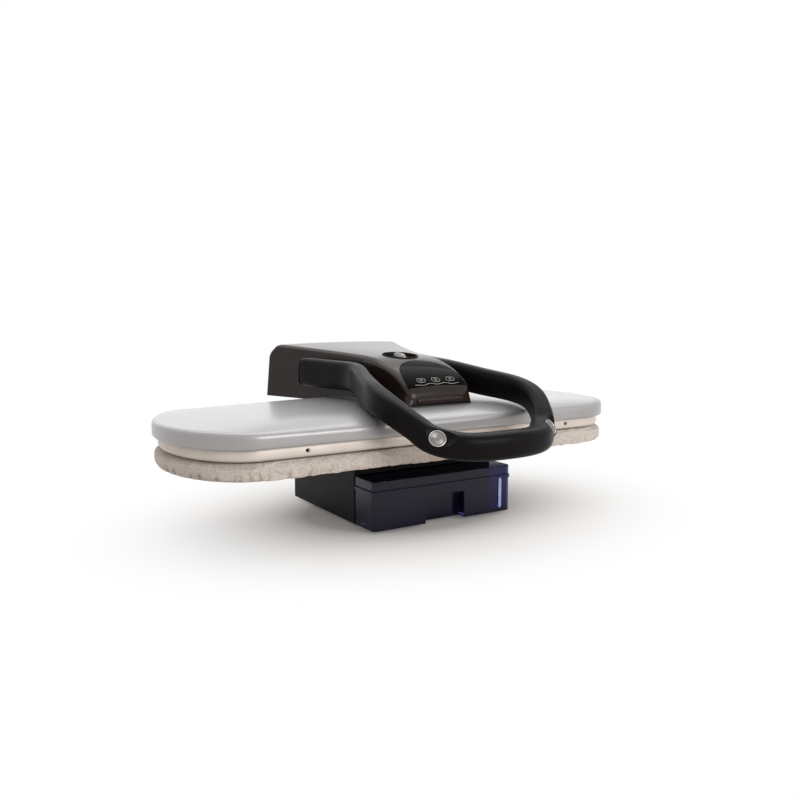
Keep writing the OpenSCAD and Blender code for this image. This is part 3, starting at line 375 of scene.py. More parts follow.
# a copy of a CAD node with its edges rounded, as a mould or a folding press leaves them
def roundedCopy(node, name, radius, segments=3, angle=35):
    mesh = nodes[node].data.copy()
    if "custom_normal" in mesh.attributes:
        mesh.attributes.remove(mesh.attributes["custom_normal"])
    work = bmesh.new()
    work.from_mesh(mesh)
    bmesh.ops.remove_doubles(work, verts=work.verts, dist=weld)
    bmesh.ops.dissolve_limit(work, angle_limit=math.radians(1), verts=work.verts, edges=work.edges)
    work.to_mesh(mesh)
    work.free()
    mesh.shade_smooth()
    piece = bpy.data.objects.new(name, mesh)
    scene.collection.objects.link(piece)
    bevel = piece.modifiers.new("rounding", "BEVEL")
    bevel.width, bevel.segments = radius * metre, segments
    bevel.limit_method, bevel.angle_limit = "ANGLE", math.radians(angle)
    bevel.harden_normals = True
    return applyModifiers(piece)


# a finish, the body that carries the piece and the CAD nodes that it stands for
def dress(piece, material, body, standsFor=()):
    piece.data.materials.clear()
    piece.data.materials.append(finish[material])
    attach(piece, body)
    if standsFor:
        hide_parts(*standsFor)
    return piece


# a profile of (radius, height) pairs turned about the vertical
def revolve(profile, around=72):
    profile = np.array(profile, float)
    a = np.linspace(0, 2 * np.pi, around, endpoint=False)
    return np.stack([profile[:, :1] * np.cos(a), profile[:, :1] * np.sin(a),
                     np.repeat(profile[:, 1:], around, 1)], -1)


# a round bar of changing radius along a line of points, closed at both ends
def barAlong(line, radius, sides=8, upright=(0.0, 0.0, 1.0)):
    line = np.asarray(line, float)
    t = np.gradient(line, axis=0)
    t /= np.linalg.norm(t, axis=1, keepdims=True)
    s = np.cross(t, upright)
    s /= np.linalg.norm(s, axis=1, keepdims=True)
    u = np.cross(s, t)
    r = np.broadcast_to(radius, len(line)).astype(float)
    line = np.concatenate([line[:1], line, line[-1:]])
    s, u = (np.concatenate([v[:1], v, v[-1:]]) for v in (s, u))
    r = np.concatenate([[0], r, [0]])
    a = np.linspace(0, 2 * np.pi, sides, endpoint=False)
    spoke = s[:, None] * np.cos(a)[:, None] + u[:, None] * np.sin(a)[:, None]
    return line[:, None] + r[:, None, None] * spoke


# points of a circle from angle a to angle b, in degrees
def arc(centre, radius, a, b, count):
    a = np.radians(np.linspace(a, b, count))
    return np.stack([centre[0] + radius * np.cos(a), centre[1] + radius * np.sin(a)], -1)


# Plan of the lid, band and board
plan = {"shift": -20.0, "straight": 285.0, "bow": 100.0, "halfDepth": 148.0}


# two straight sides joined by half-ellipse ends, walked anticlockwise by p from 0 to 4, stepped in by inset
def planPoint(p, inset):
    a = np.radians(-90 + 180 * np.clip(p, 0, 1) + 180 * np.clip(p - 2, 0, 1))
    side = 1 - 2 * np.clip(p - 1, 0, 1) + 2 * np.clip(p - 3, 0, 1)
    return (plan["shift"] + plan["straight"] * side + (plan["bow"] - inset) * np.cos(a),
            (plan["halfDepth"] - inset) * np.sin(a))


# values of p that lie evenly along the line
def planSteps(count):
    p = np.linspace(0, 4, 4001)
    x, y = planPoint(p, 0)
    run = np.concatenate([[0], np.cumsum(np.hypot(np.diff(x), np.diff(y)))])
    return np.interp(np.linspace(0, run[-1], count, endpoint=False), run, p)


# Lid
lid = {"lower": 149.3, "edge": 172.3, "rounding": 7.0, "crown": 12.0, "power": 5.0, "wall": 2.0, "skin": 3.0,
       "shoulder": 12.0, "lowSide": 8.0, "hemRounding": 3.5, "hem": 7.6, "hemLip": 1.2, "columns": 420}


# how far the top stands over the rim: full in the middle, fading to the sides and the ends
def domeAt(x, y):
    across = np.minimum(1, np.abs(y) / (plan["halfDepth"] - lid["rounding"]))
    along = np.minimum(1, np.abs(x - plan["shift"]) / (plan["straight"] + plan["bow"] - lid["rounding"]))
    return lid["crown"] * (1 - across ** lid["power"]) * (1 - along ** 2)


# rows run from the top's middle out over the rim, down the side, under the hem and back up inside;
# the rim is an arc whose end has the dome's own slope there
def makeLid():
    p = planSteps(lid["columns"])
    r, shift = lid["rounding"], plan["shift"]
    rimX, rimY = planPoint(p, r)
    inX, inY = planPoint(p, r + 1)
    rise = domeAt(rimX, rimY)
    turn = np.pi / 2 - np.arctan(np.maximum(0, domeAt(inX, inY) - rise))
    big = r / (1 - np.cos(turn))

    def topRow(share, drop):
        x, y = shift + (rimX - shift) * share, rimY * share
        return np.stack([x, y, lid["edge"] - drop + domeAt(x, y)], -1)

    def sideRow(inset, z):
        x, y = planPoint(p, inset)
        return np.stack([x, y, np.broadcast_to(z, x.shape)], -1)

    shares = np.concatenate([np.linspace(0, 0.9, 24), np.linspace(0.92, 1, 7)])
    rows = [topRow(s, 0) for s in shares]
    for k in np.linspace(0.86, 0, 7):
        inset = big * (1 - np.cos(turn * k))
        rows.append(sideRow(inset, lid["edge"] + rise - big * (np.sin(turn) - np.sin(turn * k))))
    lipZ = lid["lower"] + lid["hemRounding"]
    rows += [sideRow(0, lipZ + k * lid["lowSide"]) for k in (1.0, 0.5, 0.0)]
    rows += [sideRow(lid["hemRounding"] * (1 - math.cos(a)), lipZ - lid["hemRounding"] * math.sin(a))
             for a in np.radians([18, 36, 54, 72, 90])]
    rows += [sideRow(inset, z) for inset, z in (
        (lid["hem"], lid["lower"]), (lid["hem"], lid["lower"] + lid["hemLip"]), (lid["wall"] + 1, lipZ),
        (lid["wall"], lid["edge"] - lid["shoulder"]), (r, lid["edge"] - lid["skin"]))]
    rows += [topRow(s, lid["skin"]) for s in np.linspace(0.97, 0, 12)]
    return makePiece("silverLid", [(np.stack(rows), False, True)], sharp=60)


dress(makeLid(), "silverBasecoatPaint", "head", ["lid_shell"])
print("stage: lid")

# Band under the lid
band = {"lower": 132.8, "upper": 153.0, "inset": 8.0, "taper": 1.6, "wall": 15.0, "ledge": 141.05,
        "rebate": 5.0, "rounding": 5.5, "columns": 420, "screwMid": -10.0, "screwX": 233.0, "screwZ": 141.8,
        "screwDiameter": 5.04, "boreDepth": 10.6, "mouth": 7.0, "mouthDepth": 1.6, "overcut": 2.0}


# a closed ring: its section is carried round the plan, round below and drawn in towards the lid
def makeBand():
    p = planSteps(band["columns"])
    b, r = band["inset"], band["rounding"]
    corner = arc((b + r, band["lower"] + r), r, 270, 180, 10)
    k = np.linspace(0, 1, 6)[1:]
    drawn = np.stack([b + band["taper"] * k ** 2, corner[-1, 1] + (lid["lower"] - corner[-1, 1]) * k], -1)
    back = b + band["wall"]
    section = np.concatenate([
        [(back, band["lower"])], corner, drawn,
        [(b + band["taper"], band["upper"]), (back - band["rebate"], band["upper"]),
         (back - band["rebate"], band["ledge"]), (back, band["ledge"])]])
    x, y = planPoint(p[None], section[:, :1])
    grid = np.stack([x, y, np.broadcast_to(section[:, 1:], x.shape)], -1)
    piece = makePiece("champagneBand", [(grid, True, True)], sharp=50)
    hole, mouth, over = band["screwDiameter"] / 2, band["mouth"] / 2, band["overcut"]
    step, end = -band["mouthDepth"], -band["boreDepth"]
    bore = revolve([(0, over), (mouth, over), (mouth, step), (hole, step), (hole, end), (0, end)], 24)
    cutters = []
    for sideX in (-1, 1):
        for sideY in (-1, 1):
            turned = np.stack([bore[..., 0], sideY * bore[..., 2], bore[..., 1]], -1)
            mouthX = band["screwMid"] + sideX * band["screwX"]
            turned += (mouthX, sideY * (plan["halfDepth"] - b), band["screwZ"])
            cutters.append(makePiece("bore", [(turned, False, True)]))
    return cutOut(piece, *cutters)


dress(makeBand(), "champagneAbs", "head", ["platen_frame"])
print("stage: band")

# Padded board
board = {"lower": 106.5, "upper": 130.9, "inset": 5.0, "hemWidth": 22.0, "hemTurn": 14.0, "hem": 1.2,
         "panTop": 110.3, "panInset": 6.5, "overPan": 6.0, "topRounding": 7.5, "lowRounding": 3.5,
         "crown": 0.9, "bulge": 0.45, "columns": 480}
held, free, onTop = 0, 1, 2  # kinds of row: pan seat and hem, loose side, and top


# closed form: pan cavity, hem, rounded lower edge, full side, rounded upper edge and a nearly flat top;
# for the weave, u runs round the plan and v up the section, and on the top they are x and y, all in metres
def makeBoard():
    p = np.append(planSteps(board["columns"]), 4.0)
    b, lowR, topR = board["inset"], board["lowRounding"], board["topRounding"]
    hemTop = board["lower"] + board["hem"]
    low = arc((b + lowR, board["lower"] + lowR), lowR, 270, 180, 8)
    top = arc((b + topR, board["upper"] - board["crown"] - topR), topR, 180, 90, 9)
    side = np.stack([np.full(5, b), np.linspace(low[-1, 1], top[0, 1], 7)[1:-1]], -1)
    hem = [(board["panInset"], board["panTop"]), (board["panInset"], hemTop),
           (b + board["hemWidth"], hemTop), (b + board["hemWidth"], board["lower"]),
           (b + board["hemTurn"], board["lower"])]
    loose = np.concatenate([low, side, top])
    bulge = board["bulge"] * np.sin(np.pi * np.linspace(0, 1, len(loose)))
    rows = []
    seatX, seatY = planPoint(p, board["panInset"])
    for share in (0, 0.5, 0.94):
        rows.append((plan["shift"] + (seatX - plan["shift"]) * share, seatY * share, board["panTop"], held))
    rows += [(*planPoint(p, inset), z, held) for inset, z in hem]
    rows += [(*planPoint(p, inset - out), z, free) for (inset, z), out in zip(loose, bulge)]
    edgeX, edgeY = planPoint(p, b + topR)
    for share in (0.985, 0.96, 0.92, 0.85, 0.7, 0.45, 0.2, 0):
        z = board["upper"] - board["crown"] * share ** 4
        rows.append((plan["shift"] + (edgeX - plan["shift"]) * share, edgeY * share, z, onTop))
    grid = np.stack([np.stack([x, y, np.broadcast_to(z, x.shape)], -1) for x, y, z, kind in rows])
    kinds = np.array([kind for x, y, z, kind in rows])
    step = np.linalg.norm(np.diff(grid[:, 0], axis=0), axis=1)
    v = np.concatenate([[0], np.cumsum(step)])
    outX, outY = planPoint(p, 0)
    u = np.concatenate([[0], np.cumsum(np.hypot(np.diff(outX), np.diff(outY)))])
    uv = np.stack(np.broadcast_arrays(u[None], v[:, None]), -1).reshape(-1, 2) * metre

    mesh = bpy.data.meshes.new("boardCover")
    faces = gridFaces(grid.shape[0], grid.shape[1], False, False)
    mesh.from_pydata((grid.reshape(-1, 3) * metre).tolist(), [], faces.tolist())
    layer = mesh.uv_layers.new(name="weave")
    level = grid[..., :2].reshape(-1, 2) * metre
    isTop = np.repeat(kinds[1:] == onTop, len(p) - 1)[:, None, None]
    layer.data.foreach_set("uv", np.where(isTop, level[faces], uv[faces]).astype(np.float32).ravel())
    grip = mesh.attributes.new("held", "FLOAT", "POINT")
    grip.data.foreach_set("value", np.repeat(np.where(kinds == free, 0.0, 1.0), len(p)).astype(np.float32))
    work = bmesh.new()
    work.from_mesh(mesh)
    bmesh.ops.remove_doubles(work, verts=work.verts, dist=weld)
    bmesh.ops.recalc_face_normals(work, faces=work.faces)
    work.to_mesh(mesh)
    work.free()
    mesh.shade_smooth()
    piece = bpy.data.objects.new("boardCover", mesh)
    scene.collection.objects.link(piece)
    return piece


# a mesh's points as one array, in metres
def readPoints(mesh):
    flat = np.zeros(len(mesh.vertices) * 3, np.float32)
    mesh.vertices.foreach_get("co", flat)
    return flat.reshape(-1, 3).astype(float)


# 1 where the cover is held, 0 where it is loose
def readHeld(mesh):
    values = np.zeros(len(mesh.vertices), np.float32)
    mesh.attributes["held"].data.foreach_get("value", values)
    return values


swell = {"frames": 18, "cap": 2.2}  # cap in mm
swellRules = {"quality": 5, "mass": 0.25, "tension_stiffness": 12, "compression_stiffness": 12,
              "shear_stiffness": 4, "bending_stiffness": 0.4, "use_pressure": True,
              "uniform_pressure_force": 3.0, "shrink_min": -0.035, "vertex_group_mass": "held"}


# the cover swells a little under its own tension; hem, top and pan seat are held
def settleCover(piece):
    mesh = piece.data
    group = piece.vertex_groups.new(name="held")
    group.add(np.nonzero(readHeld(mesh) > 0.5)[0].tolist(), 1.0, "REPLACE")
    cloth = piece.modifiers.new("cloth", "CLOTH")
    for rule, value in swellRules.items():
        setattr(cloth.settings, rule, value)
    cloth.settings.effector_weights.gravity = 0
    cloth.point_cache.frame_start, cloth.point_cache.frame_end = 1, swell["frames"]
    for step in range(1, swell["frames"] + 1):
        scene.frame_set(step)
    before = readPoints(mesh)
    settled = piece.evaluated_get(bpy.context.evaluated_depsgraph_get()).to_mesh()
    move = readPoints(settled) - before
    far = np.linalg.norm(move, axis=1, keepdims=True)
    move *= np.minimum(1, swell["cap"] * metre / np.maximum(far, 1e-9))
    piece.modifiers.clear()
    piece.vertex_groups.clear()
    scene.frame_set(1)
    mesh.vertices.foreach_set("co", (before + move).astype(np.float32).ravel())
    print("stage: cover settled, moves up to", round(float(far.max()) * 1000, 2), "mm")


# each face in four, for folds finer than the simulated cloth
def splitFaces(piece):
    work = bmesh.new()
    work.from_mesh(piece.data)
    bmesh.ops.subdivide_edges(work, edges=work.edges, cuts=1, use_grid_fill=True)
    work.to_mesh(piece.data)
    work.free()


crease = {"count": 46, "seed": 7, "depth": (0.3, 1.3), "width": (1.6, 2.6), "height": (8, 17), "fade": 7.0,
          "slant": (0.15, 0.45), "endGap": 20.0, "leftShare": 0.64, "gathered": 0.6, "gatherSpread": 150.0,
          "deepSpread": 210.0, "uneven": (0.45, 1.0), "rim": 16.0, "wave": 0.5, "wavePitch": 23.0,
          "waveMiddle": 6.0, "waveReach": 10.0, "panRim": (0.8, 4.6), "sink": 0.2, "rise": 0.4}


# gathers at the hem: short slanting creases at uneven places, most and deepest round the left end, each a
# narrow bell-shaped groove that fades upwards, over a soft uneven wave; u of the weave is the way round
def creaseCover(piece):
    mesh = piece.data
    at = readPoints(mesh) / metre
    corner = np.zeros(len(mesh.loops), np.int32)
    mesh.loops.foreach_get("vertex_index", corner)
    uv = np.zeros(len(mesh.loops) * 2, np.float32)
    mesh.uv_layers["weave"].data.foreach_get("uv", uv)
    along = np.zeros(len(at))
    along[corner] = uv[::2] / metre
    x, y = (at[:, 0] - plan["shift"]), at[:, 1]
    endX = np.sign(x) * np.maximum(0, np.abs(x) - plan["straight"])
    out = np.stack([endX / plan["bow"] ** 2, y / plan["halfDepth"] ** 2], -1)
    out /= np.maximum(1e-9, np.linalg.norm(out, axis=1, keepdims=True))
    rim = np.hypot(endX / (plan["bow"] - crease["rim"]), y / (plan["halfDepth"] - crease["rim"])) > 1
    rise = at[:, 2] - board["lower"]

    rng = np.random.default_rng(crease["seed"])
    whole, leftMiddle = along.max(), crease["leftShare"] * along.max()
    spot = rng.uniform(crease["endGap"], whole - crease["endGap"], crease["count"])
    gathered = rng.uniform(size=spot.size) < crease["gathered"]
    spot = np.where(gathered, leftMiddle + rng.normal(0, crease["gatherSpread"], spot.size), spot)
    nearLeft = np.exp(-((spot - leftMiddle) / crease["deepSpread"]) ** 2)
    shallow, deep = crease["depth"]
    depth = (shallow + (deep - shallow) * nearLeft) * rng.uniform(*crease["uneven"], spot.size)
    slant = rng.normal(*crease["slant"], spot.size)
    width = rng.uniform(*crease["width"], spot.size)
    tall = rng.uniform(*crease["height"], spot.size)
    up = rise[rim][:, None]
    bell = np.exp(-((along[rim][:, None] - spot - slant * up) / width) ** 2)
    groove = np.zeros(len(at))
    groove[rim] = (depth * bell * np.clip((tall - up) / crease["fade"], 0, 1)).sum(1)
    groove = np.minimum(groove, deep)
    wave = sum(np.sin(2 * np.pi * along / (crease["wavePitch"] * k) + 5 * k) for k in (0.7, 1.0, 1.6)) / 3
    reach = np.clip(1 - np.abs(rise - crease["waveMiddle"]) / crease["waveReach"], 0, 1)
    at[:, :2] += out * (crease["wave"] * wave * np.where(rim, reach, 0) - groove)[:, None]

    # the cloth lies on the pan's rim and goes no further in
    endX = np.sign(x) * np.maximum(0, np.abs(at[:, 0] - plan["shift"]) - plan["straight"])
    over = board["overPan"]
    seat = np.hypot(endX / (plan["bow"] - over), at[:, 1] / (plan["halfDepth"] - over))
    rimLow, rimHigh = crease["panRim"]
    onRim = rim & (readHeld(mesh) < 0.3) & (rise > rimLow) & (rise < rimHigh) & (seat < 1)
    push = np.where(onRim, 1 / np.maximum(seat, 0.5), 1)
    at[:, 0] += endX * (push - 1)
    at[:, 1] *= push
    at[:, 2] = np.clip(at[:, 2], board["lower"] - crease["sink"], board["upper"] + crease["rise"])
    mesh.vertices.foreach_set("co", (at * metre).astype(np.float32).ravel())
    # painted shade for the creases: each point's share of the darker colour is its groove's depth
    creaseShade = mesh.attributes.new("creaseShade", "FLOAT", "POINT")
    creaseShade.data.foreach_set("value", np.clip(groove / deep, 0, 1).astype(np.float32))
    mesh.update()


cover = makeBoard()
settleCover(cover)
splitFaces(cover)
creaseCover(cover)
cover.data.attributes.remove(cover.data.attributes["held"])
dress(cover, "wovenCotton", "base", ["board_cover", "board_pad"])
print("stage: padded board")

# Arm over the lid
arm = {"tip": -100.0, "waist": 32.0, "rear": 253.0, "capLine": 239.0, "noseHalf": 60.0, "rearHalf": 133.0,
       "flare": 1.25, "corner": 14.0, "top": 266.3, "slope": 0.06, "noseFall": 50.0, "noseLength": 132.0,
       "rearRound": 24.0, "tailShare": 0.9, "under": 172.8, "lift": 13.0, "liftLength": 50.0, "edge": 10.0,
       "edgeLimit": 2.2, "draft": 6.0, "crown": 2.0, "wall": 2.6, "overLid": 0.45, "lidMargin": 3.0,
       "shaftY": 114.0, "shaftZ": 222.3, "shaftHole": 18.0, "shaftReach": 200.0}


# a quarter circle's fall: 0 up to a share of 0, then ever steeper to 1 at a share of 1
def roundFall(share):
    return 1 - np.sqrt(np.maximum(0, 1 - np.maximum(0, share) ** 2))


# half width: a straight nose with rounded corners, flaring to the rear
def armHalf(y):
    flare = np.maximum(0, (y - arm["waist"]) / (arm["rear"] - arm["waist"])) ** arm["flare"]
    return (arm["noseHalf"] + (arm["rearHalf"] - arm["noseHalf"]) * flare
            - arm["corner"] * roundFall((arm["tip"] + arm["corner"] - y) / arm["corner"]))


# top line: a gentle slope that falls as a quarter ellipse over the nose and rounds off at the tail
def armTop(y):
    tail = arm["rearRound"]
    return (arm["top"] + arm["slope"] * (y - arm["rear"])
            - arm["noseFall"] * roundFall((arm["waist"] - y) / arm["noseLength"])
            - arm["tailShare"] * tail * roundFall((y - arm["rear"] + tail) / tail))


# lower line: level, and lifted as a parabola towards the tip
def armUnder(y):
    length = arm["liftLength"]
    return arm["under"] + arm["lift"] * np.maximum(0, (arm["tip"] + length - y) / length) ** 2


# radius of the upper edges, smaller where the arm is low
def armEdge(y, grow=0.0):
    return np.minimum(arm["edge"], (armTop(y) + grow - armUnder(y)) / arm["edgeLimit"])


# height of the arm's top at x, y: crowned middle and round edges
def armSurface(x, y):
    r = armEdge(y)
    flat = armHalf(y) - r
    over = np.clip(np.abs(x) - flat, 0, r)
    middle = arm["crown"] * (1 - np.minimum(1, np.abs(x) / flat) ** 2)
    return armTop(y) + middle - (r - np.sqrt(np.maximum(0, r * r - over * over)))


# points lifted off the arm's top along its own normal
def onArm(x, y, lift):
    x, y = np.broadcast_arrays(np.asarray(x, float), np.asarray(y, float))
    h = 0.05  # mm to each side, for the slope
    slopeX = (armSurface(x + h, y) - armSurface(x - h, y)) / (2 * h)
    slopeY = (armSurface(x, y + h) - armSurface(x, y - h)) / (2 * h)
    normal = np.stack([-slopeX, -slopeY, np.ones_like(x)], -1)
    normal /= np.linalg.norm(normal, axis=-1, keepdims=True)
    return np.stack([x, y, armSurface(x, y)], -1) + normal * np.asarray(lift)[..., None]


# one section per depth: drafted side, round edge, crowned top, and the same down the other side
def armSections(y, grow, onLid):
    y = y[:, None]
    w, z = armHalf(y) + grow, armTop(y) + grow
    r = armEdge(y, grow)
    flat = w - r
    foot = armUnder(y)
    if onLid:
        inLid = np.abs(y) < plan["halfDepth"] - arm["lidMargin"]
        overLid = lid["edge"] + domeAt(w + arm["draft"], y) + arm["overLid"]
        foot = np.where(inLid, np.maximum(foot, overLid), foot)
    q = np.linspace(0, 1, 9)[None, :-1]
    a = np.radians(np.linspace(0, 90, 12))[None, :-1]
    k = np.linspace(1, 0, 16)[None]
    sideZ = foot + (z - r - foot) * q
    draft = arm["draft"] * (z - r - sideZ) / (z - r - armUnder(y))
    halfX = np.concatenate([w + draft, flat + r * np.cos(a), flat * k], 1)
    halfZ = np.concatenate([sideZ, z - r + r * np.sin(a), z + arm["crown"] * (1 - k * k)], 1)
    x = np.concatenate([halfX, -halfX[:, -2::-1]], 1)
    z = np.concatenate([halfZ, halfZ[:, -2::-1]], 1)
    return np.stack([x, np.broadcast_to(y, x.shape), z], -1)


# a round bar across the press, for the hole of the handle's shaft
def shaftBar():
    r, reach = arm["shaftHole"] / 2, arm["shaftReach"]
    ring = revolve([(0, -reach), (r, -reach), (r, reach), (0, reach)], 40)
    bar = np.stack([ring[..., 2], ring[..., 0] + arm["shaftY"], ring[..., 1] + arm["shaftZ"]], -1)
    return makePiece("bar", [(bar, False, True)])


# frame of the arm's top at depth y: origin, and axes across, back along its slope and out
def armFrame(y):
    pitch = math.atan(float(armTop(y + 0.5) - armTop(y - 0.5)))
    c, s = math.cos(pitch), math.sin(pitch)
    return np.array([0, y, float(armTop(y)) + arm["crown"]]), np.array([[1, 0, 0], [0, c, s], [0, -s, c]])


# points given in that frame, in the press's own
def toArm(points, y):
    origin, axes = armFrame(y)
    return origin + points @ axes


# the dial and the panel, which the arm has holes for
dial = {"y": 17.0, "dish": 60.0, "depth": 9.0, "wall": 1.6, "floorRound": 5.0, "wellGap": 0.3,
        "wellDepth": 25.0, "wellTop": 20.0, "spindle": 6.1, "knob": 36.0, "stem": 5.9, "stemEnd": -19.6,
        "overFloor": 0.3, "disc": 3.5, "groove": 0.3}
panel = {"half": 54.0, "middle": -88.0, "rise": 62.0, "lower": -94.0, "bowSlant": 0.8, "sunk": 0.5,
         "proud": 0.45, "thick": 1.1, "roll": 1.4, "bead": 0.55, "beadLift": 0.12, "beadOut": 0.5,
         "beadFoot": 1.0, "buttonY": -86.0, "pitch": 27.0, "width": 17.0, "height": 11.0, "buttonRise": 1.0,
         "buttonDepth": 5.0, "shoulder": 0.9, "shoulderUp": 0.7, "shoulderIn": 0.1, "dome": 0.2,
         "slack": 0.4, "holeDepth": 10.0, "holeTop": 6.0, "ink": 0.26}


# outline of a panel button: two half circles moved apart, grown or shrunk by some mm
def ovalLine(grow):
    a = np.linspace(0, 2 * np.pi, 72, endpoint=False)
    r, apart = panel["height"] / 2 + grow, (panel["width"] - panel["height"]) / 2
    return np.stack([r * np.cos(a) + np.sign(np.cos(a)) * apart, r * np.sin(a)], -1)


# a panel button's hole, through the panel and the arm's wall
def buttonHole(place):
    line = ovalLine(panel["slack"])
    low, high = -panel["holeDepth"], panel["holeTop"]
    rows = ((0, low), (1, low), (1, high), (0, high))
    grid = np.stack([np.column_stack([line * s, np.full(len(line), z)]) for s, z in rows])
    return makePiece("buttonHole", [(toArm(grid + (place, 0, 0), panel["buttonY"]), False, True)])


# the three holes, side by side
def buttonHoles():
    return [buttonHole(place) for place in (-panel["pitch"], 0.0, panel["pitch"])]


# the sections from tip to cap, closed in front and open below, given a wall and then their holes
def makeArm():
    nose = arm["waist"] - arm["noseLength"] * np.sin(np.radians(np.linspace(90, 0, 46)))
    tail = np.linspace(arm["waist"], arm["capLine"], 44)[1:]
    grid = armSections(np.concatenate([nose, tail]), 0.0, True)
    front = grid[:1].copy()
    front[..., 2] = grid[0, 0, 2]
    piece = makePiece("armCover", [(np.concatenate([front, grid]), False, False)], sharp=50, shell=True)
    thicken(piece, arm["wall"])
    r, low, high = dial["dish"] / 2 + dial["wellGap"], -dial["wellDepth"], dial["wellTop"]
    well = toArm(revolve([(0, low), (r, low), (r, high), (0, high)], 72), dial["y"])
    return cutOut(piece, makePiece("well", [(well, False, True)]), shaftBar(), *buttonHoles())


rearCap = {"step": 0.8, "gap": 0.3, "lead": 2.0, "roundStart": 3.0, "roundDepths": (2.2, 1.6, 1.2),
           "back": ((0.994, 0.9), (0.98, 0.75), (0.6, 0.7), (0.0, 0.7))}  # share of the section, depth


# rear cap: the arm's own section stepped in, closed in front and rounded off behind
def makeRearCap():
    first, rear = arm["capLine"], arm["rear"]
    straight = np.linspace(first + rearCap["lead"], rear - rearCap["roundStart"], 7)
    y = np.concatenate([[first + rearCap["gap"]], straight, rear - np.array(rearCap["roundDepths"])])
    grid = armSections(y, -rearCap["step"], False)
    closing = grid[:, :1].copy()
    grid = np.concatenate([grid, closing * [0, 1, 1]], 1)
    middle = grid.mean(1, keepdims=True)
    ends = []
    for share, back in rearCap["back"]:
        ring = middle[-1:] + (grid[-1:] - middle[-1:]) * share
        ring[..., 1] = rear - back
        ends.append(ring)
    start = np.broadcast_to(middle[:1], grid[:1].shape)
    return makePiece("armRearCap", [(np.concatenate([start, grid, *ends]), False, True)])


dress(makeArm(), "polishedBrownAbs", "head", ["arm_cover"])
dress(makeRearCap(), "polishedBrownAbs", "head", ["rear_cap"])
print("stage: arm")

# Panel on the nose, its bead, marks and buttons

# a sheet laid on the arm's nose: flat below, half-elliptical above, its border rolled into the arm as a
# quarter circle; the grid's lines lie closer towards the border
def makePanel():
    t = np.linspace(-1, 1, 91)
    u = t * (1.5 - 0.5 * t * t)
    s = np.linspace(0, 1, 91)
    v = s * s * (3 - 2 * s)
    x = panel["half"] * u[None] * np.ones((len(v), 1))
    high = panel["middle"] + panel["rise"] * np.sqrt(np.maximum(0, 1 - u * u))
    y = panel["lower"] + (high - panel["lower"])[None] * v[:, None]
    toBow = (high[None] - y) * panel["bowSlant"]  # nearer than straight up, as the bow slants
    edge = np.minimum(panel["half"] - np.abs(x), np.minimum(y - panel["lower"], toBow))
    k = np.clip(edge / panel["roll"], 0, 1)
    lift = -panel["sunk"] + (panel["proud"] + panel["sunk"]) * np.sqrt(np.maximum(0, 1 - (1 - k) ** 2))
    piece = makePiece("controlPanel", [(onArm(x, y, lift), False, False)], sharp=60, shell=True)
    thicken(piece, panel["thick"])
    return cutOut(piece, *buttonHoles(), solver="MANIFOLD")


# a round bar just outside the panel's border: up one side, over the half ellipse and down the other
def makeBead():
    a = np.linspace(0, np.pi, 121)
    wide, tall = panel["half"] + panel["beadOut"], panel["rise"] + panel["beadOut"]
    x, y = wide * np.cos(a), panel["middle"] + tall * np.sin(a)
    up = np.linspace(panel["lower"] + panel["beadFoot"], panel["middle"], 8)[:-1]
    x = np.concatenate([np.full(len(up), x[0]), x, np.full(len(up), x[-1])])
    y = np.concatenate([up, y, up[::-1]])
    bar = barAlong(onArm(x, y, panel["beadLift"]), panel["bead"])
    return makePiece("panelBead", [(bar, False, True)], sharp=60)


# a pillowed oval: outline scaled in towards its middle, top slightly domed, round shoulder
def makeButton(name, place):
    line = ovalLine(0)
    foot, top = -panel["buttonDepth"], panel["buttonRise"]
    side = top - panel["shoulder"]
    rows = [(0.0, foot), (1.0, foot), (1.0, side)]
    rows += [(1 - panel["shoulderIn"] * (1 - math.cos(a)), side + panel["shoulderUp"] * math.sin(a))
             for a in np.radians([20, 40, 60, 80])]
    rows += [(s, top - panel["dome"] * s * s) for s in (0.8, 0.6, 0.4, 0.2, 0.0)]
    grid = np.stack([np.column_stack([line * s, np.full(len(line), z)]) for s, z in rows])
    return makePiece(name, [(toArm(grid + (place, 0, 0), panel["buttonY"]), False, True)], sharp=45)


# marks are thin bars of ink: each a line of (across, up) in mm, laid on its button's dome
def makeMarks(name, place, lines):
    parts = []
    for line in lines:
        line = np.asarray(line, float)
        reach = np.hypot(line[:, 0] / (panel["width"] / 2), line[:, 1] / (panel["height"] / 2))
        z = panel["buttonRise"] - panel["dome"] * reach ** 2
        points = toArm(np.column_stack([line[:, 0] + place, line[:, 1], z]), panel["buttonY"])
        upright = armFrame(panel["buttonY"])[1][2]
        parts.append((barAlong(points, panel["ink"], 6, upright), False, True))
    return makePiece(name, parts, sharp=60)


# icons: three rising waves for steam, a clock for the timer and a broken ring with a bar for power
icon = {"border": 1.1, "waveHalf": 2.2, "waveApart": 2.2, "waveSwing": 0.5, "waveTurn": 2.6, "clock": 2.4,
        "hourHand": ((0, 0), (0.7, 0), (1.4, 0)), "minuteHand": ((0, 1.7), (0, 0.9), (0, 0)), "power": 2.2,
        "powerArc": (125, 415), "powerBar": ((0, 2.8), (0, 1.8), (0, 0.7))}
outline = ovalLine(-icon["border"])
outline = np.concatenate([outline, outline[:1]])
h = np.linspace(-icon["waveHalf"], icon["waveHalf"], 15)
wave = icon["waveSwing"] * np.sin(icon["waveTurn"] * h)
waves = [np.column_stack([side * icon["waveApart"] + wave, h]) for side in (-1, 0, 1)]
clock = [arc((0, 0), icon["clock"], 0, 360, 41), icon["minuteHand"], icon["hourHand"]]
power = [arc((0, 0), icon["power"], *icon["powerArc"], 33), icon["powerBar"]]
buttons = {"left": (-1, waves), "middle": (0, clock), "right": (1, power)}
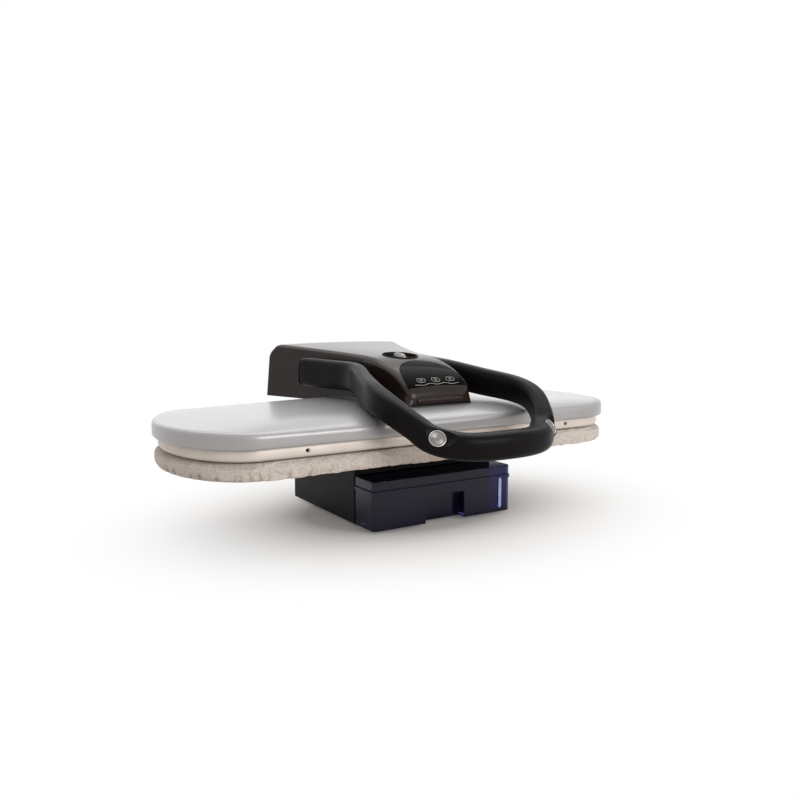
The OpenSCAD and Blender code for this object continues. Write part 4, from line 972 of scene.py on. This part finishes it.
for name, (side, lines) in buttons.items():
    body = name + "_button"
    place = side * panel["pitch"]
    dress(makeButton(name + "Button", place), "glossAcrylic", body, [body])
    dress(makeMarks(name + "ButtonMarks", place, [outline, *lines]), "paleScreenInk", body)
dress(makePanel(), "glossAcrylic", "head", ["control_panel"])
dress(makeBead(), "polishedBrownAbs", "head")

# scallop line: a cosine under the buttons, one wave to a button
scallop = {"left": -40.0, "right": 41.0, "below": 5.5, "swing": 0.75, "ink": 0.3}
x = np.linspace(scallop["left"], scallop["right"], 121)
y = panel["buttonY"] - scallop["below"] - scallop["swing"] * np.cos(2 * np.pi * x / panel["pitch"])
line = barAlong(onArm(x, y, panel["proud"]), scallop["ink"], 6)
dress(makePiece("panelScallop", [(line, False, True)], sharp=60), "paleScreenInk", "head")
print("stage: panel and buttons")

# Lip under the panel
lip = {"half": 43.0, "front": -100.3, "thick": 2.4, "height": 8.0, "middle": 190.8, "endRound": 3.0,
       "endHeight": 0.4}


# a half-round bar along the nose, whose thickness and height fall as a quarter circle over its ends
def makeLip():
    x = np.sin(np.radians(np.linspace(-90, 90, 41))) * lip["half"]
    k = 1 - roundFall((np.abs(x) - lip["half"] + lip["endRound"]) / lip["endRound"])[:, None]
    a = np.radians(np.linspace(-90, 90, 17))[None]
    y = lip["front"] - lip["thick"] * np.cos(a) * k
    low = lip["endHeight"]
    z = lip["middle"] + lip["height"] / 2 * np.sin(a) * (low + (1 - low) * k)
    grid = np.stack([np.broadcast_to(x[:, None], y.shape), y, z], -1)
    middle = np.broadcast_to(grid.mean(1, keepdims=True), grid.shape)
    closed = np.concatenate([middle[:1], grid, middle[-1:]])
    return makePiece("noseLip", [(closed, False, True)], sharp=50)


dress(makeLip(), "polishedBrownAbs", "head", ["nose_trim"])
print("stage: lip")

# Dial

# the dish, turned: up its outside, over a rolled rim, down inside and round into the floor
def makeDish():
    r, d, w = dial["dish"] / 2, dial["depth"], dial["wall"]
    hole, bend = dial["spindle"] / 2, dial["floorRound"]
    outside = [(hole, -d - w), (r - 6, -d - w), (r - 1.5, -d / 2 - 2), (r, -d / 2)]
    rim = [(r, 0.1), (r - 0.3, 0.35), (r - 0.8, 0.45), (r - 1.3, 0.35), (r - w, 0.0)]
    inside = arc((r - w - bend, -d + bend), bend, 0, -90, 9)
    profile = np.concatenate([outside, rim, inside, [(hole + 4, -d), (hole, -d)]])
    return makePiece("dialDish", [(toArm(revolve(profile, 96), dial["y"]), True, True)], sharp=50)


# the knob's grip; ends are the powers that round it along its length, square those of its section
ridge = {"width": 12.4, "taper": 1.8, "height": 8.6, "foot": 1.5, "inset": 2.2, "sink": 0.1, "waist": 0.25,
         "ends": (5.0, 2.4), "square": (0.75, 0.7)}


# the knob: a turned disc with a groove, on a stem, and one ridge across it, a soft rectangle in section
# that tapers upwards and rounds down to its ends
def makeKnob():
    r, stem, foot = dial["knob"] / 2, dial["stem"] / 2, dial["stemEnd"]
    low = dial["overFloor"] - dial["depth"]
    top = low + dial["disc"]
    cut = top - dial["groove"]
    disc = [(0, foot), (stem, foot), (stem, low), (r - 0.6, low), (r, low + 0.6), (r, top - 1.1),
            (r - 0.35, top - 0.4), (r - 1.1, top), (r - 2.2, top), (r - 2.6, cut), (r - 3.2, cut),
            (r - 3.6, top), (0, top)]
    along = np.sin(np.radians(np.linspace(-90, 90, 41)))[:, None]
    k = (1 - np.abs(along) ** ridge["ends"][0]) ** (1 / ridge["ends"][1])
    a = np.linspace(0, 2 * np.pi, 48, endpoint=False)[None]
    c, s = np.cos(a), np.sin(a)
    taper = ridge["width"] / 2 - ridge["taper"] * np.maximum(0, s)
    waist = 1 - ridge["waist"] * (1 - k)
    wide = np.sign(c) * np.abs(c) ** ridge["square"][0] * taper * waist * k
    high = np.where(s > 0, ridge["height"], -ridge["foot"]) * np.abs(s) ** ridge["square"][1] * k
    length = np.broadcast_to(along * (r - ridge["inset"]), wide.shape)
    grip = np.stack([wide, length, top - ridge["sink"] + high], -1)
    return makePiece("dialKnob", [(toArm(revolve(disc, 96), dial["y"]), False, True),
                                  (toArm(grip, dial["y"]), False, True)])


dress(makeDish(), "texturedBlackAbs", "head", ["dial_dish"])
dress(makeKnob(), "spunSteel", "dial", ["dial_knob"])
print("stage: dial")

# Handle loop; ends are pairs of share of the section and how far out, in mm
loop = {"grip": 37.0, "limbWidth": 28.0, "limbHeight": 48.0, "reach": -262.0, "gripZ": 145.3, "half": 131.0,
        "power": 3.2, "steps": 14, "sides": 96, "ends": ((0.93, 0.7), (0.78, 1.4), (0.5, 2.0), (0.0, 2.2))}
# thumb buttons on it; dish is the hollow round each, as pairs of how far out and up from the ring's top
thumb = {"place": (94.0, -225.0, 150.3), "tilt": 58.0, "turn": 26.0, "pocket": 24.6, "floor": 10.0,
         "dish": ((0.8, 0.1), (3, 0.9), (7, 3.5), (12, 8.5), (17, 16), (21, 26)), "bossSink": 2.0,
         "ring": 2.0, "ringTop": 7.7, "disc": 20.0, "discGap": 0.4, "discFoot": 2.5, "face": 7.4,
         "turned": 0.16, "turnedPitch": 2.3, "hollow": 0.45, "hollowShare": 0.35}


# right half, from the middle of the grip to the rear end: x, y, z, width, height
def limbStations():
    grip, wide, tall, half = loop["grip"], loop["limbWidth"], loop["limbHeight"], loop["half"]
    y, z, shaftY, shaftZ = loop["reach"], loop["gripZ"], arm["shaftY"], arm["shaftZ"]
    front, nose = -plan["halfDepth"], arm["noseHalf"]
    return np.array([
        (0, y, z + 0.5, grip, grip + 2),
        (60, y + 10, z + 1, grip, grip + 0.5),
        (half - 35, y + 38, z + 9, grip - 1, grip),
        (half - 17, y + 60, z + 26, wide + 3, grip - 2),
        (half - 2, y + 97, z + 46, wide + 2, 0.78 * tall),
        (half - 3, front + 26, shaftZ - 19.5, wide + 1, 0.86 * tall),
        (half - 22, front + 90, shaftZ - 11, wide, 0.92 * tall),
        (nose + 29, front + 156, shaftZ - 1.5, wide, 0.95 * tall),
        (nose + 37, shaftY - 42, shaftZ - 0.5, wide, 0.98 * tall),
        (nose + 51, shaftY + 18, shaftZ, wide, tall),
        (nose + 53, shaftY + 26, shaftZ, 0.92 * wide, 0.92 * tall),
        (nose + 54, shaftY + 31, shaftZ, 0.6 * wide, 0.68 * tall)])


# a smooth curve through the points: each span is a cubic worked out from its four nearest points
def throughPoints(points, steps):
    last = len(points) - 1
    i = np.arange(last)
    p0, p1, p2, p3 = points[np.maximum(i - 1, 0)], points[i], points[i + 1], points[np.minimum(i + 2, last)]
    t = np.linspace(0, 1, steps, endpoint=False)[None, :, None]
    p0, p1, p2, p3 = (q[:, None] for q in (p0, p1, p2, p3))
    curve = 0.5 * (2 * p1 + (p2 - p0) * t + (2 * p0 - 5 * p1 + 4 * p2 - p3) * t ** 2
                   + (3 * p1 - p0 - 3 * p2 + p3) * t ** 3)
    return np.concatenate([curve.reshape(-1, points.shape[1]), points[-1:]])


# points given about a thumb button's axis, put in its place: tilted, turned, and mirrored on the left,
# where side is -1
def thumbPoints(points, side):
    a, b = math.radians(thumb["tilt"]), math.radians(thumb["turn"])
    tilt = np.array([[1, 0, 0], [0, math.cos(a), -math.sin(a)], [0, math.sin(a), math.cos(a)]])
    turn = np.array([[math.cos(b), -math.sin(b), 0], [math.sin(b), math.cos(b), 0], [0, 0, 1]])
    return (points @ (turn @ tilt).T + thumb["place"]) * (side, 1, 1)


# a soft-cornered rectangle carried along the loop, upright all the way, with rounded rear ends
def makeHandle():
    right = limbStations()
    left = right[:0:-1] * (-1, 1, 1, 1, 1)
    run = throughPoints(np.concatenate([left, right]), loop["steps"])
    t = np.gradient(run[:, :3], axis=0)
    t /= np.linalg.norm(t, axis=1, keepdims=True)
    share, out = np.array(loop["ends"]).T[..., None]
    ends = []
    for end, sign in ((0, -1), (-1, 1)):
        caps = np.repeat(run[end][None], len(share), 0)
        caps[:, :3] += sign * out * t[end]
        caps[:, 3:] *= share
        ends.append(caps)
    run = np.concatenate([ends[0][::-1], run, ends[1]])
    t = np.concatenate([np.repeat(t[:1], len(share), 0), t, np.repeat(t[-1:], len(share), 0)])
    s = np.cross(t, (0, 0, 1.0))
    s /= np.linalg.norm(s, axis=1, keepdims=True)
    u = np.cross(s, t)
    a = np.linspace(0, 2 * np.pi, loop["sides"], endpoint=False)
    c, d = (np.sign(v) * np.abs(v) ** (2 / loop["power"]) / 2 for v in (np.cos(a), np.sin(a)))
    across, up = (c * run[:, 3:4])[..., None], (d * run[:, 4:5])[..., None]
    grid = run[:, None, :3] + s[:, None] * across + u[:, None] * up
    piece = makePiece("handleLoop", [(grid, False, True)], sharp=60)
    r, low, top = thumb["pocket"] / 2, thumb["floor"], thumb["floor"] + thumb["ringTop"]
    dish = [(r + wider, top + higher) for wider, higher in thumb["dish"]]
    bore = revolve([(0, low), (r, low), (r, top), *dish, (0, dish[-1][1])], 64)
    cutters = [makePiece("pocket", [(thumbPoints(bore, side), False, True)]) for side in (-1, 1)]
    return cutOut(piece, *cutters)


# one piece of two rings: a closed profile turned about each thumb button's axis
def thumbPair(name, profile, sharp):
    ring = revolve(profile, 72)
    return makePiece(name, [(thumbPoints(ring, side), True, True) for side in (-1, 1)], sharp)


# low cones that carry the rings where the handle's side falls away from them
def makeBosses():
    r, foot = thumb["pocket"] / 2, thumb["floor"] - thumb["bossSink"]
    top = thumb["floor"] + thumb["ringTop"]
    profile = [(r, foot), (r, top - 0.1), (r + 0.6, top - 0.1), (r + 1.6, top - 1.2), (r + 2.9, top - 4.4),
               (r + 3.8, foot)]
    return thumbPair("thumbBosses", profile, 60)


# bright rings in the pockets: straight outside, rounded over and falling a little towards the disc
def makeRings():
    foot, top = thumb["floor"], thumb["floor"] + thumb["ringTop"]
    inner, outer = thumb["disc"] / 2 + thumb["discGap"], thumb["disc"] / 2 + thumb["ring"]
    profile = [(inner, foot), (outer, foot), (outer, top - 0.6), (outer - 0.25, top - 0.2),
               (outer - 0.8, top), (inner + 0.25, top - 0.2), (inner, top - 0.7)]
    return thumbPair("thumbRings", profile, 50)


# a turned disc: three fine rings, as a cosine of the radius, and a shallow bell-shaped hollow in its middle
def makeThumb(name, side):
    r, foot, top = thumb["disc"] / 2, thumb["floor"] + thumb["discFoot"], thumb["floor"] + thumb["face"]
    k = np.linspace(0.95, 0, 60)
    rings = np.cos(k * r * 2 * np.pi / thumb["turnedPitch"]) * np.clip((k - 0.2) / 0.2, 0, 1)
    hollow = thumb["hollow"] * np.exp(-(k / thumb["hollowShare"]) ** 2)
    face = top - hollow + thumb["turned"] * (rings - 1)
    rim = [(0, foot), (r, foot), (r, top - 0.4), (r - 0.1, top - 0.12), (r - 0.3, top)]
    profile = np.concatenate([rim, np.column_stack([k * r, face])])
    return makePiece(name, [(thumbPoints(revolve(profile, 72), side), False, True)], sharp=60)


dress(makeHandle(), "satinBlackNylon", "handle", ["handle_loop"])
dress(makeBosses(), "satinBlackNylon", "handle")
dress(makeRings(), "satinChrome", "handle", ["button_rings"])
dress(makeThumb("leftThumbDisc", -1), "spunSteel", "left_thumb", ["left_thumb"])
dress(makeThumb("rightThumbDisc", 1), "spunSteel", "right_thumb", ["right_thumb"])
print("stage: handle")

# Stand, tower, feet, tank and rails: the solids with their edges rounded, radius in mm
rounded = {
    "base_shell": ("standShell", 2.2, "texturedBlackAbs", "base", "black_plastic"),
    "rear_tower": ("rearTower", 1.6, "texturedBlackAbs", "base", "black_plastic"),
    "cord_gland": ("cordGland", 0.7, "texturedBlackAbs", "base", "black_plastic"),
    "feet": ("footStrips", 1.0, "paleFootRubber", "base", "foot_rubber"),
    "tank_tub": ("tankTub", 0.8, "smokedSan", "tank", "tank_smoke"),
    "tank_lid": ("tankLid", 1.0, "smokedSan", "tank", "tank_smoke"),
    "board_rails": ("boardRails", 0.6, "zincPlatedSteel", "base", "steel"),
}
for node, (name, radius, material, body, slotName) in rounded.items():
    dress(roundedCopy(node, name, radius), material, body, [node])

# Gauge window in the tank's front
gauge = {"fromRight": 23.0, "width": 5.5, "lower": 12.0, "upper": 60.0, "inside": 0.8, "edge": 0.1,
         "proud": 0.35, "faceShare": 0.96}


# an upright bar with round ends, let into the tank's front, its face a little smaller than its edge
def makeGauge():
    low, high = (np.array(corner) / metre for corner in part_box("tank_tub"))
    a = np.linspace(0, 2 * np.pi, 64, endpoint=False)
    r, tall = gauge["width"] / 2, (gauge["upper"] - gauge["lower"] - gauge["width"]) / 2
    x, z = r * np.cos(a), r * np.sin(a) + np.sign(np.sin(a)) * tall
    back, front = gauge["inside"], -gauge["proud"]
    rows = [(0.0, back), (1.0, back), (1.0, -gauge["edge"]), (gauge["faceShare"], front), (0.0, front)]
    grid = np.stack([np.stack([x * s, np.full(len(a), y), z * s], -1) for s, y in rows])
    grid += (high[0] - gauge["fromRight"], low[1], (gauge["lower"] + gauge["upper"]) / 2)
    return makePiece("gaugeWindow", [(grid, False, True)], sharp=45)


dress(makeGauge(), "frostedBlueSan", "tank")
print("stage: stand and tank")

# every CAD node that still shows takes the finish of its slot
slotFinish = {"black_plastic": "texturedBlackAbs", "brown_plastic": "polishedBrownAbs",
              "steel": "zincPlatedSteel", "cast_aluminium": "castAluminium",
              "works_plastic": "greyPolyamide", "brass": "turnedBrass", "rubber": "nitrileRubber",
              "hose_silicone": "milkySilicone", "circuit_board": "glassEpoxyBoard",
              "pad_felt": "needledFelt", "bright_metal": "satinChrome"}
# the band's screws take near-black steel, painted shade in their holes
ownFinish = {"frame_screws": "holeShadeSteel"}
for part in frame["record"]["subparts"]:
    node = nodes[part["node"]]
    if not node.hide_render:
        for place in node.material_slots:
            place.material = finish[ownFinish.get(part["node"], slotFinish.get(part["material_slot"]))]
print("stage: CAD nodes dressed")
